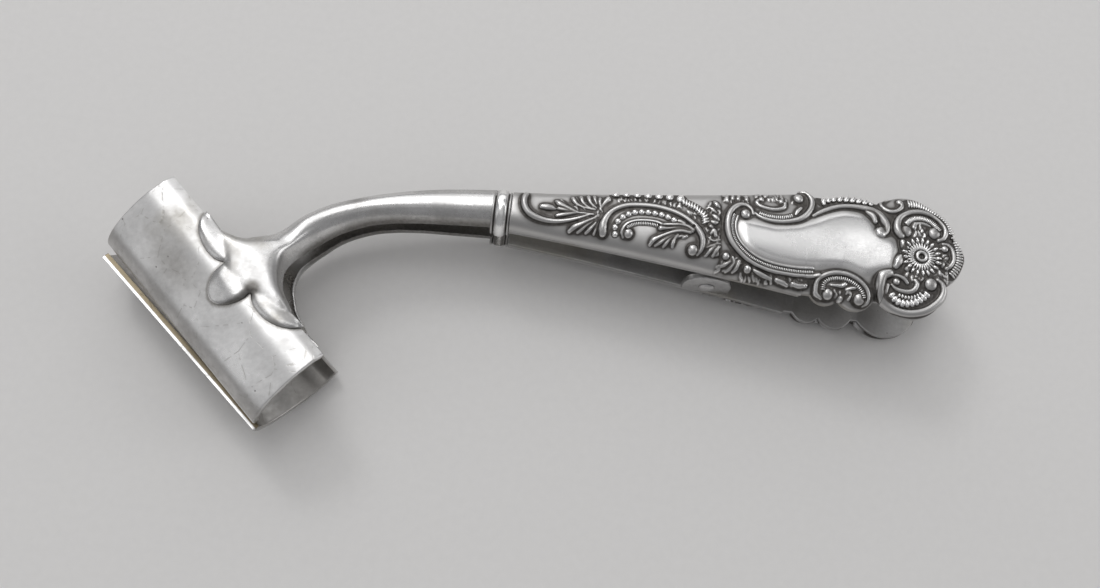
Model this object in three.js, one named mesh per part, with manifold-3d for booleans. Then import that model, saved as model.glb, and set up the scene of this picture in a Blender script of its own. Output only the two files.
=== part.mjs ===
// Individual asparagus tongs: two silver arms hinged near the middle of their handles.
// Each arm is a curved sheet jaw, a D-section neck that ends in a three-petal mount, a beaded
// collar, a struck handle shell and the flat plate that closes it. Millimetres, +Z up. The tongs
// lie on one side: the arms are mirror images about a level middle plane, x runs along the handles
// from the collars to the flower ends, and the origin is under the middle of the bounding box.
import * as THREE from "three";
import { mergeVertices } from "three/addons/utils/BufferGeometryUtils.js";
import Module from "manifold-3d";

const wasm = await Module();
wasm.setup();

// Handle
const handleLength = 63.2; // collar centre to the outermost petal
const handleStart = 1.35; // from the collar centre to the end of the shell
const throatHalfWidth = 2.8; // at the collar
const panelHalfWidth = 7.45; // where the taper ends
const throatFlat = 1.95; // from the middle plane to the plate at the collar
const splayAngle = THREE.MathUtils.degToRad(2.3); // of each plate from the middle plane
const throatHeight = 3.05; // of the whole section at the collar
const crownDepth = 6.95; // from the middle plane to the top of the panel
const endThickness = 2.3; // of the whole section at the outermost petal
const shellWall = 0.85;
const plateThickness = 0.7;
const solderGap = 0.05;
const grooveRadius = 0.45; // of the groove round the polished panel
const grooveDepth = 0.3;
const flowerRadius = 2.9; // to the groove round the flower
const flowerEyeRadius = 0.75; // to the groove round its middle

// Collar bead
const collarWidth = 2.6;
const collarStand = 0.55; // how far the bead stands out of the section

// Neck
const neckReach = 30.9; // collar centre back to the jaw's edge
const neckDrop = 13.6; // sideways from the handle's axis to the jaw's edge
const neckOffset = 0.52; // of the neck from the handle's axis at the collar
const neckHalfWidth = 2.7;
const neckHeight = 2.95;
const neckFlat = 1.8; // from the middle plane to the neck's flat side at the collar
const jawFlat = 4.75; // and at the jaw's edge
const flareRun = 5.1; // length that the flare's places are shares of

// Jaw
const jawAngle = THREE.MathUtils.degToRad(47.8); // of the jaw's crosswise axis from the handle's
const jawLength = 32.2;
const jawShift = 1.17; // of the mount from the middle of the jaw's edge
const jawWidth = 12.05;
const jawWall = 0.9;
const jawCrown = 6.15; // from the middle plane to the top of the sheet
const jawNeckEdge = 5.45; // from the middle plane to the edge at the neck
const jawBite = 0.15; // from the middle plane to the far edge
const lowerJawLip = 1.15; // how much wider the lower jaw is, so that it catches the upper one
const lowerJawTurn = THREE.MathUtils.degToRad(2);

// Petal mount on the jaw
const petalSpan = 10.45; // from the middle to the tip of a side petal
const sidePetalReach = 3.05;
const middlePetalReach = 6.55;
const middlePetalHalfWidth = 2.5; // where it leaves the side petals
const petalOverhang = 0.4; // past the jaw's edge
const petalThickness = 0.75;
const mountHeight = 6.95; // from the middle plane to the top of the mount

// Hinge
const hingeAlong = 29.7; // from the collar centre
const hingeLevel = -1.2; // of the pin's axis from the middle plane
const pinRadius = 0.8;
const pinClearance = 0.09;
const pinHeadRadius = 1.15;
const pinHeadHeight = 0.45;
const earRadius = 3.35;
const earThickness = 0.9;
const bracketThickness = 0.85;
const bracketEyeRadius = 1.55;
const bracketFootLength = 6.4;
const hingeSideClearance = 0.2;

// Leaf spring
const springRootAlong = 35.6;
const springRootLength = 6.2;
const springTipAlong = 54.2;
const springWidth = 4.4;
const springThickness = 0.45;
const springClearance = 0.3;
const rivetRadius = 0.55;
const rivetHeadRadius = 1.05;
const rivetHeadHeight = 0.4;

const cutOverrun = 1; // how far every cutter passes the piece it cuts
const weldShare = 1e-4; // of the overrun, within which two vertices are one

const materials = {
  silver: new THREE.MeshStandardMaterial({ color: 0xc9c6c0, roughness: 0.3, metalness: 1 }),
  struckSilver: new THREE.MeshStandardMaterial({ color: 0xb4b0aa, roughness: 0.35, metalness: 1 }),
  plateSilver: new THREE.MeshStandardMaterial({ color: 0xa39e97, roughness: 0.38, metalness: 1 }),
  springSteel: new THREE.MeshStandardMaterial({ color: 0x83827e, roughness: 0.4, metalness: 1 }),
};

// Solids and meshes

function toSolid(geometry) {
  const bare = geometry.clone();
  bare.deleteAttribute("normal");
  bare.deleteAttribute("uv");
  const merged = mergeVertices(bare, cutOverrun * weldShare);
  return new wasm.Manifold(
    new wasm.Mesh({
      numProp: 3,
      vertProperties: merged.attributes.position.array,
      triVerts: new Uint32Array(merged.index.array),
    }),
  );
}

function toGeometry(solid) {
  const { numProp, numVert, vertProperties, triVerts } = solid.getMesh();
  const positions = new Float32Array(numVert * 3);
  for (let i = 0; i < numVert; i++) {
    positions.set(vertProperties.subarray(i * numProp, i * numProp + 3), i * 3);
  }
  const geometry = new THREE.BufferGeometry();
  geometry.setAttribute("position", new THREE.BufferAttribute(positions, 3));
  geometry.setIndex(new THREE.BufferAttribute(triVerts, 1));
  geometry.computeVertexNormals();
  return geometry;
}

function named(name, geometry, material) {
  const mesh = new THREE.Mesh(geometry, material);
  mesh.name = name;
  return mesh;
}

// Skins closed loops of equal length, in order, and closes both ends with fans.
function loft(loops) {
  const count = loops[0].length;
  const points = loops.flat();
  const index = [];
  for (let row = 0; row < loops.length - 1; row++) {
    for (let i = 0; i < count; i++) {
      const next = (i + 1) % count;
      const [a, b] = [row * count + i, row * count + next];
      index.push(a, b, b + count, a, b + count, a + count);
    }
  }
  for (const [row, turn] of [[0, false], [loops.length - 1, true]]) {
    const hub = points.length;
    const sum = loops[row].reduce((total, p) => total.add(p), new THREE.Vector3());
    points.push(sum.divideScalar(count));
    for (let i = 0; i < count; i++) {
      const [a, b] = [row * count + i, row * count + ((i + 1) % count)];
      index.push(...(turn ? [a, b, hub] : [b, a, hub]));
    }
  }
  const geometry = new THREE.BufferGeometry().setFromPoints(points);
  geometry.setIndex(index);
  geometry.computeVertexNormals();
  return geometry;
}

// Half-round section: flat below, superellipse above. Its plane stands on the line through
// `centre` along `across`. Points run from the +across edge over the top to the -across edge.
function halfRound({ centre, across, flat, left, right, height, segments, fullness = 1 }) {
  const loop = [];
  for (let i = 0; i <= segments; i++) {
    const angle = (Math.PI * i) / segments;
    const side = Math.sign(Math.cos(angle)) * Math.abs(Math.cos(angle)) ** fullness;
    const reach = side * (side > 0 ? right : left);
    const lift = height * Math.abs(Math.sin(angle)) ** fullness;
    loop.push(new THREE.Vector3(centre.x + across.x * reach, centre.y + across.y * reach, flat + lift));
  }
  return loop;
}

// Handle outline

const shellSegments = 13;
const shellTaperSteps = 9;
const plateTaperSteps = 7;
const lobeSteps = 34;
const hollowSteps = 9;
const shellFullness = 0.86; // below 1 makes the section boxier than an ellipse

// Scalloped lobes of the flower end: place along the handle as a share of its length, centre and
// radius as shares of the panel's half width. Front is -y.
const frontLobeShares = [
  [0.706, 0.832, 0.289],
  [0.77, 0.805, 0.362],
  [0.885, 0.564, 0.644],
];
const backLobeShares = [
  [0.654, 0.82, 0.22],
  [0.755, -0.03, 1.063],
  [0.878, 0.44, 0.7],
];
const endLobeShare = 0.617; // radius of the lobe round the outermost petal
const waistShare = 0.955; // half width between the lobes
const lobeStartShare = 0.655; // where the taper ends and the lobes begin
const waistEndShare = 0.9; // where only the end lobe is left
const sagShare = 0.12; // how far the taper's middle control point sags below a straight line

function taperHalfWidth(x) {
  const end = handleLength * lobeStartShare;
  const share = THREE.MathUtils.clamp((x - handleStart) / (end - handleStart), 0, 1);
  const middle = ((throatHalfWidth + panelHalfWidth) / 2) * (1 - sagShare);
  const inverse = 1 - share;
  return throatHalfWidth * inverse ** 2 + 2 * middle * inverse * share + panelHalfWidth * share ** 2;
}

function lobeReach(x, along, out, radius) {
  const offset = x - along;
  return Math.abs(offset) < radius ? out + Math.sqrt(radius ** 2 - offset ** 2) : 0;
}

function halfWidth(x, lobeShares) {
  const endRadius = panelHalfWidth * endLobeShare;
  const endLobe = lobeReach(x, handleLength - endRadius, 0, endRadius);
  const lobes = lobeShares.map(([along, out, radius]) =>
    lobeReach(x, along * handleLength, out * panelHalfWidth, radius * panelHalfWidth),
  );
  const lobeStart = handleLength * lobeStartShare;
  const waistEnd = handleLength * waistEndShare;
  const body = x <= lobeStart ? taperHalfWidth(x) : x < waistEnd ? panelHalfWidth * waistShare : 0;
  return Math.max(body, endLobe, ...lobes);
}

const frontHalfWidth = (x) => halfWidth(x, frontLobeShares);
const backHalfWidth = (x) => halfWidth(x, backLobeShares);

// Height of the plate's inner face over the middle plane.
const plateLevel = (x) => throatFlat + x * Math.tan(splayAngle);

// Height of the crown line over the middle plane.
const crownStartShare = 0.5; // from here on the crown runs level
const endRoundShare = 0.88; // from here on it rounds down to the end
function crownLevel(x) {
  const start = plateLevel(0) + throatHeight;
  const rise = THREE.MathUtils.clamp(x / (handleLength * crownStartShare), 0, 1);
  const level = start + (crownDepth - start) * Math.sin((Math.PI / 2) * rise);
  const roundStart = handleLength * endRoundShare;
  const past = Math.max(0, (x - roundStart) / (handleLength - roundStart));
  const drop = crownDepth - plateLevel(handleLength) - endThickness;
  return level - drop * (1 - Math.sqrt(1 - Math.min(past, 1) ** 2));
}

const lastStationShare = 0.9985; // the end lobe closes to a point at a share of 1
const tighteningShare = 0.25; // how much closer the stations stand towards the flower end

// Stations along the handle: wide apart on the taper, close together on the lobes.
function handleStations(taperSteps) {
  const change = handleLength * lobeStartShare;
  const to = handleLength * lastStationShare;
  const stations = [];
  for (let i = 0; i < taperSteps; i++) {
    stations.push(handleStart + ((change - handleStart) * i) / taperSteps);
  }
  for (let i = 0; i <= lobeSteps; i++) {
    const share = i / lobeSteps;
    stations.push(change + (to - change) * (share + (share - share ** 2) * tighteningShare));
  }
  return stations;
}

const crosswise = new THREE.Vector3(0, 1, 0);

// Height of the shell's rim over the middle plane.
const shellSeat = (x) => plateLevel(x) + plateThickness + solderGap;

// Height of the shell's outer face over a place inside its outline.
function shellTop(x, y) {
  const reach = y < 0 ? frontHalfWidth(x) : backHalfWidth(x);
  const share = Math.min(Math.abs(y) / reach, 1);
  const lift = (1 - share ** (2 / shellFullness)) ** (shellFullness / 2);
  return shellSeat(x) + (crownLevel(x) - shellSeat(x)) * lift;
}

// Edge of the polished panel: places along the handle and across it, as shares of its length and
// of the panel's half width.
const panelShares = [
  [0.514, 0.175],
  [0.511, -0.054],
  [0.525, -0.282],
  [0.56, -0.47],
  [0.614, -0.564],
  [0.671, -0.55],
  [0.722, -0.47],
  [0.766, -0.523],
  [0.8, -0.53],
  [0.832, -0.403],
  [0.843, -0.107],
  [0.839, 0.161],
  [0.81, 0.265],
  [0.797, 0.51],
  [0.766, 0.644],
  [0.722, 0.591],
  [0.674, 0.389],
  [0.627, 0.215],
  [0.573, 0.175],
  [0.538, 0.255],
];
const flowerAlongShare = 0.903; // middle of the flower, as shares of the same sizes
const flowerAcrossShare = -0.06;
const panelSteps = 56;
const flowerSteps = 20;
const grooveSides = 6;

function panelLine() {
  const corners = panelShares.map(
    ([along, across]) => new THREE.Vector3(along * handleLength, across * panelHalfWidth, 0),
  );
  return new THREE.CatmullRomCurve3(corners, true).getSpacedPoints(panelSteps).slice(1);
}

function flowerLine(radius) {
  const middle = new THREE.Vector2(handleLength * flowerAlongShare, panelHalfWidth * flowerAcrossShare);
  const ring = new THREE.EllipseCurve(middle.x, middle.y, radius, radius);
  return ring.getPoints(flowerSteps).slice(1);
}

// Round cutter that follows a closed line over the shell, sunk to the groove's depth.
function grooveCutter(line) {
  const points = [];
  const index = [];
  line.forEach((p, i) => {
    const before = line[(i + line.length - 1) % line.length];
    const after = line[(i + 1) % line.length];
    const side = new THREE.Vector2(before.y - after.y, after.x - before.x).normalize();
    const level = shellTop(p.x, p.y) - grooveDepth + grooveRadius;
    for (let j = 0; j < grooveSides; j++) {
      const angle = (2 * Math.PI * j) / grooveSides;
      const out = grooveRadius * Math.cos(angle);
      const lift = grooveRadius * Math.sin(angle);
      points.push(new THREE.Vector3(p.x + side.x * out, p.y + side.y * out, level + lift));
      const [here, next] = [i * grooveSides, ((i + 1) % line.length) * grooveSides];
      const turn = (j + 1) % grooveSides;
      index.push(here + j, here + turn, next + turn, here + j, next + turn, next + j);
    }
  });
  const geometry = new THREE.BufferGeometry().setFromPoints(points);
  geometry.setIndex(index);
  return geometry;
}

// Section of the shell at a station, or of its hollow when it is sunk by the wall.
function shellSection(x, left, right, sink) {
  return halfRound({
    centre: new THREE.Vector3(x, 0, 0),
    across: crosswise,
    flat: shellSeat(x) - sink,
    left,
    right,
    height: crownLevel(x) - shellSeat(x),
    segments: shellSegments,
    fullness: shellFullness,
  });
}

function handleShell() {
  const outer = handleStations(shellTaperSteps).map((x) =>
    shellSection(x, frontHalfWidth(x), backHalfWidth(x), 0),
  );
  const hollow = [];
  const hollowStart = handleStart + shellWall;
  const hollowEnd = handleLength * endRoundShare;
  for (let i = 0; i <= hollowSteps; i++) {
    const x = hollowStart + ((hollowEnd - hollowStart) * i) / hollowSteps;
    const reach = Math.min(taperHalfWidth(x), panelHalfWidth * waistShare) - shellWall;
    hollow.push(shellSection(x, reach, reach, shellWall));
  }
  let shell = toSolid(loft(outer)).subtract(toSolid(loft(hollow)));
  for (const line of [panelLine(), flowerLine(flowerRadius), flowerLine(flowerEyeRadius)]) {
    shell = shell.subtract(toSolid(grooveCutter(line)));
  }
  return toGeometry(shell);
}

const rivetInsetShare = 0.25; // of the spring's root, from each of its ends to a rivet
const rivetSegments = 12;

function rivetPlaces() {
  const inset = springRootLength * rivetInsetShare;
  return [springRootAlong + inset, springRootAlong + springRootLength - inset];
}

// Cutter for a rivet's hole, through a thickness round a place on the plate.
function rivetHole(x, z, thickness) {
  const radius = rivetRadius + solderGap;
  const drill = new THREE.CylinderGeometry(radius, radius, thickness + 2 * cutOverrun, rivetSegments);
  return toSolid(drill.rotateX(Math.PI / 2).translate(x, 0, z));
}

function backPlate(holed) {
  const loops = handleStations(plateTaperSteps).map((x) => {
    const [front, back] = [-frontHalfWidth(x), backHalfWidth(x)];
    const [low, high] = [plateLevel(x), plateLevel(x) + plateThickness];
    return [
      new THREE.Vector3(x, back, low),
      new THREE.Vector3(x, back, high),
      new THREE.Vector3(x, front, high),
      new THREE.Vector3(x, front, low),
    ];
  });
  let plate = toSolid(loft(loops));
  if (holed) {
    for (const x of rivetPlaces()) {
      plate = plate.subtract(rivetHole(x, plateLevel(x) + plateThickness / 2, plateThickness));
    }
  }
  return toGeometry(plate);
}

// Collar

// Outline of the bead: place as a share of half its width, stand-out as a share of the full one.
const beadShares = [
  [-1, 0.25],
  [-0.82, 0.45],
  [-0.68, 0.1],
  [-0.5, 0.72],
  [-0.2, 1],
  [0.2, 1],
  [0.5, 0.72],
  [0.68, 0.1],
  [0.82, 0.45],
  [1, 0.25],
];
const beadUnderShare = 1 / 3; // of the stand-out, by which the bead also drops below the plate
const collarSegments = 12;

function collar() {
  const half = collarWidth / 2 - solderGap;
  const loops = beadShares.map(([along, stand]) => {
    const out = collarStand * stand;
    return halfRound({
      centre: new THREE.Vector3(along * half, 0, 0),
      across: crosswise,
      flat: plateLevel(0) - out * beadUnderShare,
      left: throatHalfWidth + out,
      right: throatHalfWidth + out,
      height: throatHeight + out + out * beadUnderShare,
      segments: collarSegments,
    });
  });
  return loft(loops);
}

// Jaw

// The jaw's own frame: x across the sheet from its neck edge, y along it, z up.
function jawMatrix(turn) {
  const matrix = new THREE.Matrix4().makeRotationZ(Math.PI + jawAngle + turn);
  return matrix.setPosition(-neckReach, -neckDrop, 0);
}

// Line of the sheet, as shares of its width and of its crown's height
const crownFromShare = 0.16; // where the level top starts
const crownToShare = 0.28; // and ends
const riseControlShare = 0.08;
const fallControlShares = [
  [0.52, 1],
  [1.06, 0.54],
];
const riseSteps = 3;
const fallSteps = 11;

// Outer line of the sheet from its neck edge to its far edge, raised by `lift` along the normal.
function jawLine(width, lift) {
  const point = (share, z) => new THREE.Vector2(width * share, z);
  const rise = new THREE.QuadraticBezierCurve(
    point(0, jawNeckEdge),
    point(riseControlShare, jawCrown),
    point(crownFromShare, jawCrown),
  );
  const level = new THREE.LineCurve(point(crownFromShare, jawCrown), point(crownToShare, jawCrown));
  const fall = new THREE.CubicBezierCurve(
    point(crownToShare, jawCrown),
    ...fallControlShares.map(([across, height]) => point(across, jawCrown * height)),
    point(1, jawBite),
  );
  const line = [];
  for (const [curve, steps] of [[rise, riseSteps], [level, 1], [fall, fallSteps]]) {
    for (let i = curve === rise ? 0 : 1; i <= steps; i++) {
      const tangent = curve.getTangent(i / steps);
      const normal = new THREE.Vector2(-tangent.y, tangent.x);
      line.push(curve.getPoint(i / steps).addScaledVector(normal, lift));
    }
  }
  return line;
}

// Extrudes a section drawn in the jaw frame's x and z along its y.
function alongJaw(section, from, to) {
  const geometry = new THREE.ExtrudeGeometry(new THREE.Shape(section), {
    depth: to - from,
    bevelEnabled: false,
  });
  return geometry.rotateX(Math.PI / 2).translate(0, to, 0);
}

function jaw(width, turn) {
  const section = [...jawLine(width, 0), ...jawLine(width, -jawWall).reverse()];
  const from = -jawLength / 2 - jawShift;
  return alongJaw(section, from, from + jawLength).applyMatrix4(jawMatrix(turn));
}

// Neck and petal mount

// Way of the neck's middle line from the collar towards the jaw, in shares of its reach, its drop
// and its change of level, then shares of the section's half width and height.
const neckWayShares = [
  [0, 0, 0, 1, 1],
  [0.227, 0.037, -0.07, 0.94, 0.98],
  [0.369, 0.074, -0.135, 0.86, 0.99],
  [0.498, 0.127, -0.17, 0.78, 1],
  [0.599, 0.191, -0.185, 0.75, 1.03],
  [0.715, 0.304, -0.17, 0.79, 1.1],
  [0.809, 0.457, -0.1, 0.82, 1.22],
];

// Flare of the neck into the mount: distance from the jaw's edge as a share of the flare's run,
// reach to the outer side and to the crotch as shares of the petals' span, level of the underside
// as a share of its change, and top as a share of the mount's.
const flareShares = [
  [-1.2, 0.3, 0.12, 0.035, 0.8],
  [-0.88, 0.345, 0.14, 0.2, 0.88],
  [-0.59, 0.39, 0.225, 0.44, 0.945],
  [-0.39, 0.42, 0.345, 0.68, 0.98],
  [-0.235, 0.49, 0.48, 0.88, 1],
  [-0.1, 0.625, 0.75, 1, 1],
  [0.06, 0.6, 0.68, 1, 1],
  [0.3, 0.32, 0.34, 1, 1],
  [0.6, 0.18, 0.18, 1, 0.98],
  [1, 0.07, 0.07, 1, 0.92],
];
const neckSegments = 13;
const neckStepsPerPoint = 2;

function neckLoops(turn) {
  const frame = jawMatrix(turn);
  const inJaw = (x, y) => new THREE.Vector3(x, y, 0).applyMatrix4(frame);
  const level = (share) => neckFlat + share * (jawFlat - neckFlat);
  const way = neckWayShares.map(
    ([along, drop, lift]) =>
      new THREE.Vector3(-along * neckReach, neckOffset - drop * (neckDrop + neckOffset), level(lift)),
  );
  way[0].x = -collarWidth / 2;
  const [firstPlace, firstOuter, firstInner, firstLevel] = flareShares[0];
  const firstShift = ((firstInner - firstOuter) / 2) * petalSpan;
  const flareStart = inJaw(firstPlace * flareRun, firstShift).setZ(level(firstLevel));
  const route = new THREE.CatmullRomCurve3([...way, flareStart]);
  const loops = [];
  const steps = way.length * neckStepsPerPoint;
  for (let i = 0; i < steps; i++) {
    const before = Math.floor(i / neckStepsPerPoint);
    const after = Math.min(before + 1, way.length - 1);
    const part = i / neckStepsPerPoint - before;
    const blend = (column) =>
      THREE.MathUtils.lerp(neckWayShares[before][column], neckWayShares[after][column], part);
    const centre = route.getPoint(i / steps);
    const tangent = route.getTangent(i / steps);
    const across = new THREE.Vector3(tangent.y, -tangent.x, 0).normalize();
    loops.push(
      halfRound({
        centre,
        across: i === 0 ? crosswise : across,
        flat: centre.z,
        left: neckHalfWidth * blend(3),
        right: neckHalfWidth * blend(3),
        height: neckHeight * blend(4),
        segments: neckSegments,
      }),
    );
  }
  const acrossJaw = inJaw(0, -1).sub(inJaw(0, 0));
  for (const [place, outer, inner, lift, top] of flareShares) {
    loops.push(
      halfRound({
        centre: inJaw(place * flareRun, 0),
        across: acrossJaw,
        flat: level(lift),
        left: inner * petalSpan,
        right: outer * petalSpan,
        height: mountHeight * top - level(lift),
        segments: neckSegments,
      }),
    );
  }
  return loops.reverse();
}

// Control points of a side petal, as shares of its reach and of the span, and of half the middle
// petal, as shares of its reach and of its half width.
const cuspReachShare = 0.52; // of a side petal's reach, where it meets the middle one
const sidePetalShares = [
  [1.05, 0.92],
  [1.28, 0.33],
];
const middlePetalShares = [
  [0.49, 1.36],
  [1, 0.76],
];
const petalSegments = 7;

// Outline of the three petals in the jaw frame, from one side petal's tip to the other's.
function petalOutline() {
  const side = (way) =>
    sidePetalShares.map(([reach, out]) => [sidePetalReach * reach, way * petalSpan * out]);
  const middle = (way) =>
    middlePetalShares.map(([reach, out]) => [middlePetalReach * reach, way * middlePetalHalfWidth * out]);
  const cusp = (way) => [cuspReachShare * sidePetalReach, way * middlePetalHalfWidth];
  const shape = new THREE.Shape();
  shape.moveTo(-petalOverhang, -petalSpan);
  shape.bezierCurveTo(...side(-1).flat(), ...cusp(-1));
  shape.bezierCurveTo(...middle(-1).flat(), middlePetalReach, 0);
  shape.bezierCurveTo(...middle(1).reverse().flat(), ...cusp(1));
  shape.bezierCurveTo(...side(1).reverse().flat(), -petalOverhang, petalSpan);
  return shape;
}

function neck(width, turn) {
  const frame = jawMatrix(turn);
  const seatLine = jawLine(width, solderGap);
  const topLine = jawLine(width, solderGap + petalThickness);
  const edge = (z) => new THREE.Vector2(-cutOverrun, z);
  const half = petalSpan + cutOverrun;
  const slab = alongJaw(
    [edge(topLine[0].y), ...topLine, ...seatLine.slice().reverse(), edge(jawFlat)],
    -half,
    half,
  );
  const cutter = new THREE.ExtrudeGeometry(petalOutline(), {
    depth: mountHeight + cutOverrun,
    bevelEnabled: false,
    curveSegments: petalSegments,
  });
  const petals = toSolid(slab).intersect(toSolid(cutter));
  const under = [
    new THREE.Vector2(-solderGap, 0),
    new THREE.Vector2(-solderGap, seatLine[0].y),
    ...seatLine,
    new THREE.Vector2(seatLine[seatLine.length - 1].x, 0),
  ];
  const clearance = alongJaw(under, -jawLength, jawLength);
  const mount = petals.subtract(toSolid(clearance));
  const rod = toSolid(loft(neckLoops(turn)));
  const room = toSolid(clearance.applyMatrix4(frame));
  return toGeometry(rod.subtract(room).add(toSolid(toGeometry(mount).applyMatrix4(frame))));
}

// Hinge

const hinge = new THREE.Vector3(hingeAlong, 0, hingeLevel);
const earOuter = () => Math.min(frontHalfWidth(hingeAlong), backHalfWidth(hingeAlong));
const pinSegments = 20;
const earSegments = 10;
const domeSteps = 4;

function pinHole(radius, from, to) {
  const drill = new THREE.CylinderGeometry(radius, radius, to - from, pinSegments);
  return drill.translate(hinge.x, (from + to) / 2, hinge.z);
}

// Extrudes a section drawn in x and z along y.
function alongPin(section, from, to) {
  const geometry = new THREE.ExtrudeGeometry(section, {
    depth: to - from,
    bevelEnabled: false,
    curveSegments: earSegments,
  });
  return geometry.rotateX(Math.PI / 2).translate(0, to, 0);
}

// A rounded ear that stands on the lower plate and carries one end of the pin.
function ear(from, to) {
  const foot = (x) => -plateLevel(x) + solderGap;
  const [left, right] = [hinge.x - earRadius, hinge.x + earRadius];
  const shape = new THREE.Shape();
  shape.moveTo(left, foot(left));
  shape.lineTo(right, foot(right));
  shape.lineTo(right, hinge.z);
  shape.absarc(hinge.x, hinge.z, earRadius, 0, Math.PI, false);
  const hole = pinHole(pinRadius + pinClearance, from - cutOverrun, to + cutOverrun);
  return toGeometry(toSolid(alongPin(shape, from, to)).subtract(toSolid(hole)));
}

// The bracket on the upper plate: a foot with two eyes that turn on the pin between the ears.
function bracket() {
  const outer = earOuter() - earThickness - hingeSideClearance;
  const roof = (x) => plateLevel(x) - solderGap;
  const [left, right] = [hinge.x - bracketFootLength / 2, hinge.x + bracketFootLength / 2];
  const cheek = new THREE.Shape();
  cheek.moveTo(right, roof(right));
  cheek.lineTo(left, roof(left));
  cheek.lineTo(left, roof(left) - bracketThickness);
  cheek.lineTo(hinge.x - bracketEyeRadius, hinge.z);
  cheek.absarc(hinge.x, hinge.z, bracketEyeRadius, Math.PI, 2 * Math.PI, false);
  cheek.lineTo(right, roof(right) - bracketThickness);
  const foot = new THREE.Shape();
  foot.moveTo(right, roof(right));
  foot.lineTo(left, roof(left));
  foot.lineTo(left, roof(left) - bracketThickness);
  foot.lineTo(right, roof(right) - bracketThickness);
  const hole = pinHole(pinRadius + pinClearance, -outer - cutOverrun, outer + cutOverrun);
  const made = toSolid(alongPin(foot, -outer, outer))
    .add(toSolid(alongPin(cheek, -outer, -outer + bracketThickness)))
    .add(toSolid(alongPin(cheek, outer - bracketThickness, outer)))
    .subtract(toSolid(hole));
  return toGeometry(made);
}

// The pin with a domed head riveted over at each end.
function pin() {
  const shoulder = earOuter() + solderGap;
  const dome = [];
  for (let i = 0; i <= domeSteps; i++) {
    const angle = (Math.PI / 2) * (i / domeSteps);
    dome.push(
      new THREE.Vector2(
        i === domeSteps ? 0 : pinHeadRadius * Math.cos(angle),
        shoulder + pinHeadHeight * Math.sin(angle),
      ),
    );
  }
  const upper = [new THREE.Vector2(pinRadius, shoulder), ...dome];
  const lower = upper.map((p) => new THREE.Vector2(p.x, -p.y)).reverse();
  return new THREE.LatheGeometry([...lower, ...upper], pinSegments).translate(hinge.x, 0, hinge.z);
}

// Spring

// Sweep and curl of the leaf, as shares of its run from the root's end to its tip
const sweepStartShare = 0.45; // first control point, level with the root
const sweepEndShare = 0.55; // second one
const sweepDipShare = 0.12; // how far the second one lies below the tip
const sweepStopShare = 0.08; // where the sweep ends, before the tip
const curlControlShare = 0.03; // past the tip
const curlEndShare = 0.1;
const curlDropShare = 0.06;
const sweepSteps = 14;
const curlSteps = 4;

// Middle line of the leaf: flat on the lower plate, then up to the upper plate in one sweep.
function springLine() {
  const lift = solderGap + springThickness / 2;
  const onPlate = (x) => new THREE.Vector2(x, -plateLevel(x) + lift);
  const rootEnd = springRootAlong + springRootLength;
  const run = springTipAlong - rootEnd;
  const touch = plateLevel(springTipAlong) - springClearance - springThickness / 2;
  const bottom = onPlate(rootEnd);
  const sweep = new THREE.CubicBezierCurve(
    bottom,
    new THREE.Vector2(rootEnd + run * sweepStartShare, bottom.y),
    new THREE.Vector2(rootEnd + run * sweepEndShare, touch - run * sweepDipShare),
    new THREE.Vector2(springTipAlong - run * sweepStopShare, touch),
  );
  const curl = new THREE.QuadraticBezierCurve(
    sweep.getPoint(1),
    new THREE.Vector2(springTipAlong + run * curlControlShare, touch),
    new THREE.Vector2(springTipAlong + run * curlEndShare, touch - run * curlDropShare),
  );
  const raised = [...sweep.getPoints(sweepSteps), ...curl.getPoints(curlSteps).slice(1)];
  return [onPlate(springRootAlong), ...raised];
}

function thicken(line, thickness) {
  const offset = (side) =>
    line.map((p, i) => {
      const before = line[Math.max(i - 1, 0)];
      const after = line[Math.min(i + 1, line.length - 1)];
      const tangent = after.clone().sub(before).normalize();
      return p.clone().add(new THREE.Vector2(-tangent.y, tangent.x).multiplyScalar((side * thickness) / 2));
    });
  return new THREE.Shape([...offset(-1), ...offset(1).reverse()]);
}

function leafSpring() {
  let leaf = toSolid(alongPin(thicken(springLine(), springThickness), -springWidth / 2, springWidth / 2));
  for (const x of rivetPlaces()) {
    leaf = leaf.subtract(rivetHole(x, -plateLevel(x), springThickness));
  }
  return toGeometry(leaf);
}

const headShoulderShares = [0.75, 0.7]; // of the head's radius and height

// A rivet through the spring's root and the lower plate.
function springRivet() {
  const [shoulderRadius, shoulderHeight] = headShoulderShares;
  const headSeat = springThickness + 2 * solderGap;
  const profile = [
    new THREE.Vector2(0, -plateThickness - solderGap),
    new THREE.Vector2(rivetRadius, -plateThickness - solderGap),
    new THREE.Vector2(rivetRadius, headSeat),
    new THREE.Vector2(rivetHeadRadius, headSeat),
    new THREE.Vector2(rivetHeadRadius * shoulderRadius, headSeat + rivetHeadHeight * shoulderHeight),
    new THREE.Vector2(0, headSeat + rivetHeadHeight),
  ];
  return new THREE.LatheGeometry(profile, rivetSegments).rotateX(Math.PI / 2);
}

// Assembly

function arm(side, jawLip, turn, holed) {
  const group = new THREE.Group();
  const width = jawWidth + jawLip;
  group.add(named(`${side}_jaw`, jaw(width, turn), materials.silver));
  group.add(named(`${side}_neck`, neck(width, turn), materials.silver));
  group.add(named(`${side}_collar`, collar(), materials.silver));
  group.add(named(`${side}_handle_shell`, handleShell(), materials.struckSilver));
  group.add(named(`${side}_back_plate`, backPlate(holed), materials.plateSilver));
  return group;
}

const upperArm = arm("upper", 0, 0, false);
upperArm.add(named("hinge_bracket", bracket(), materials.plateSilver));

const lowerArm = arm("lower", lowerJawLip, lowerJawTurn, true);
lowerArm.scale.z = -1;

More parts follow.
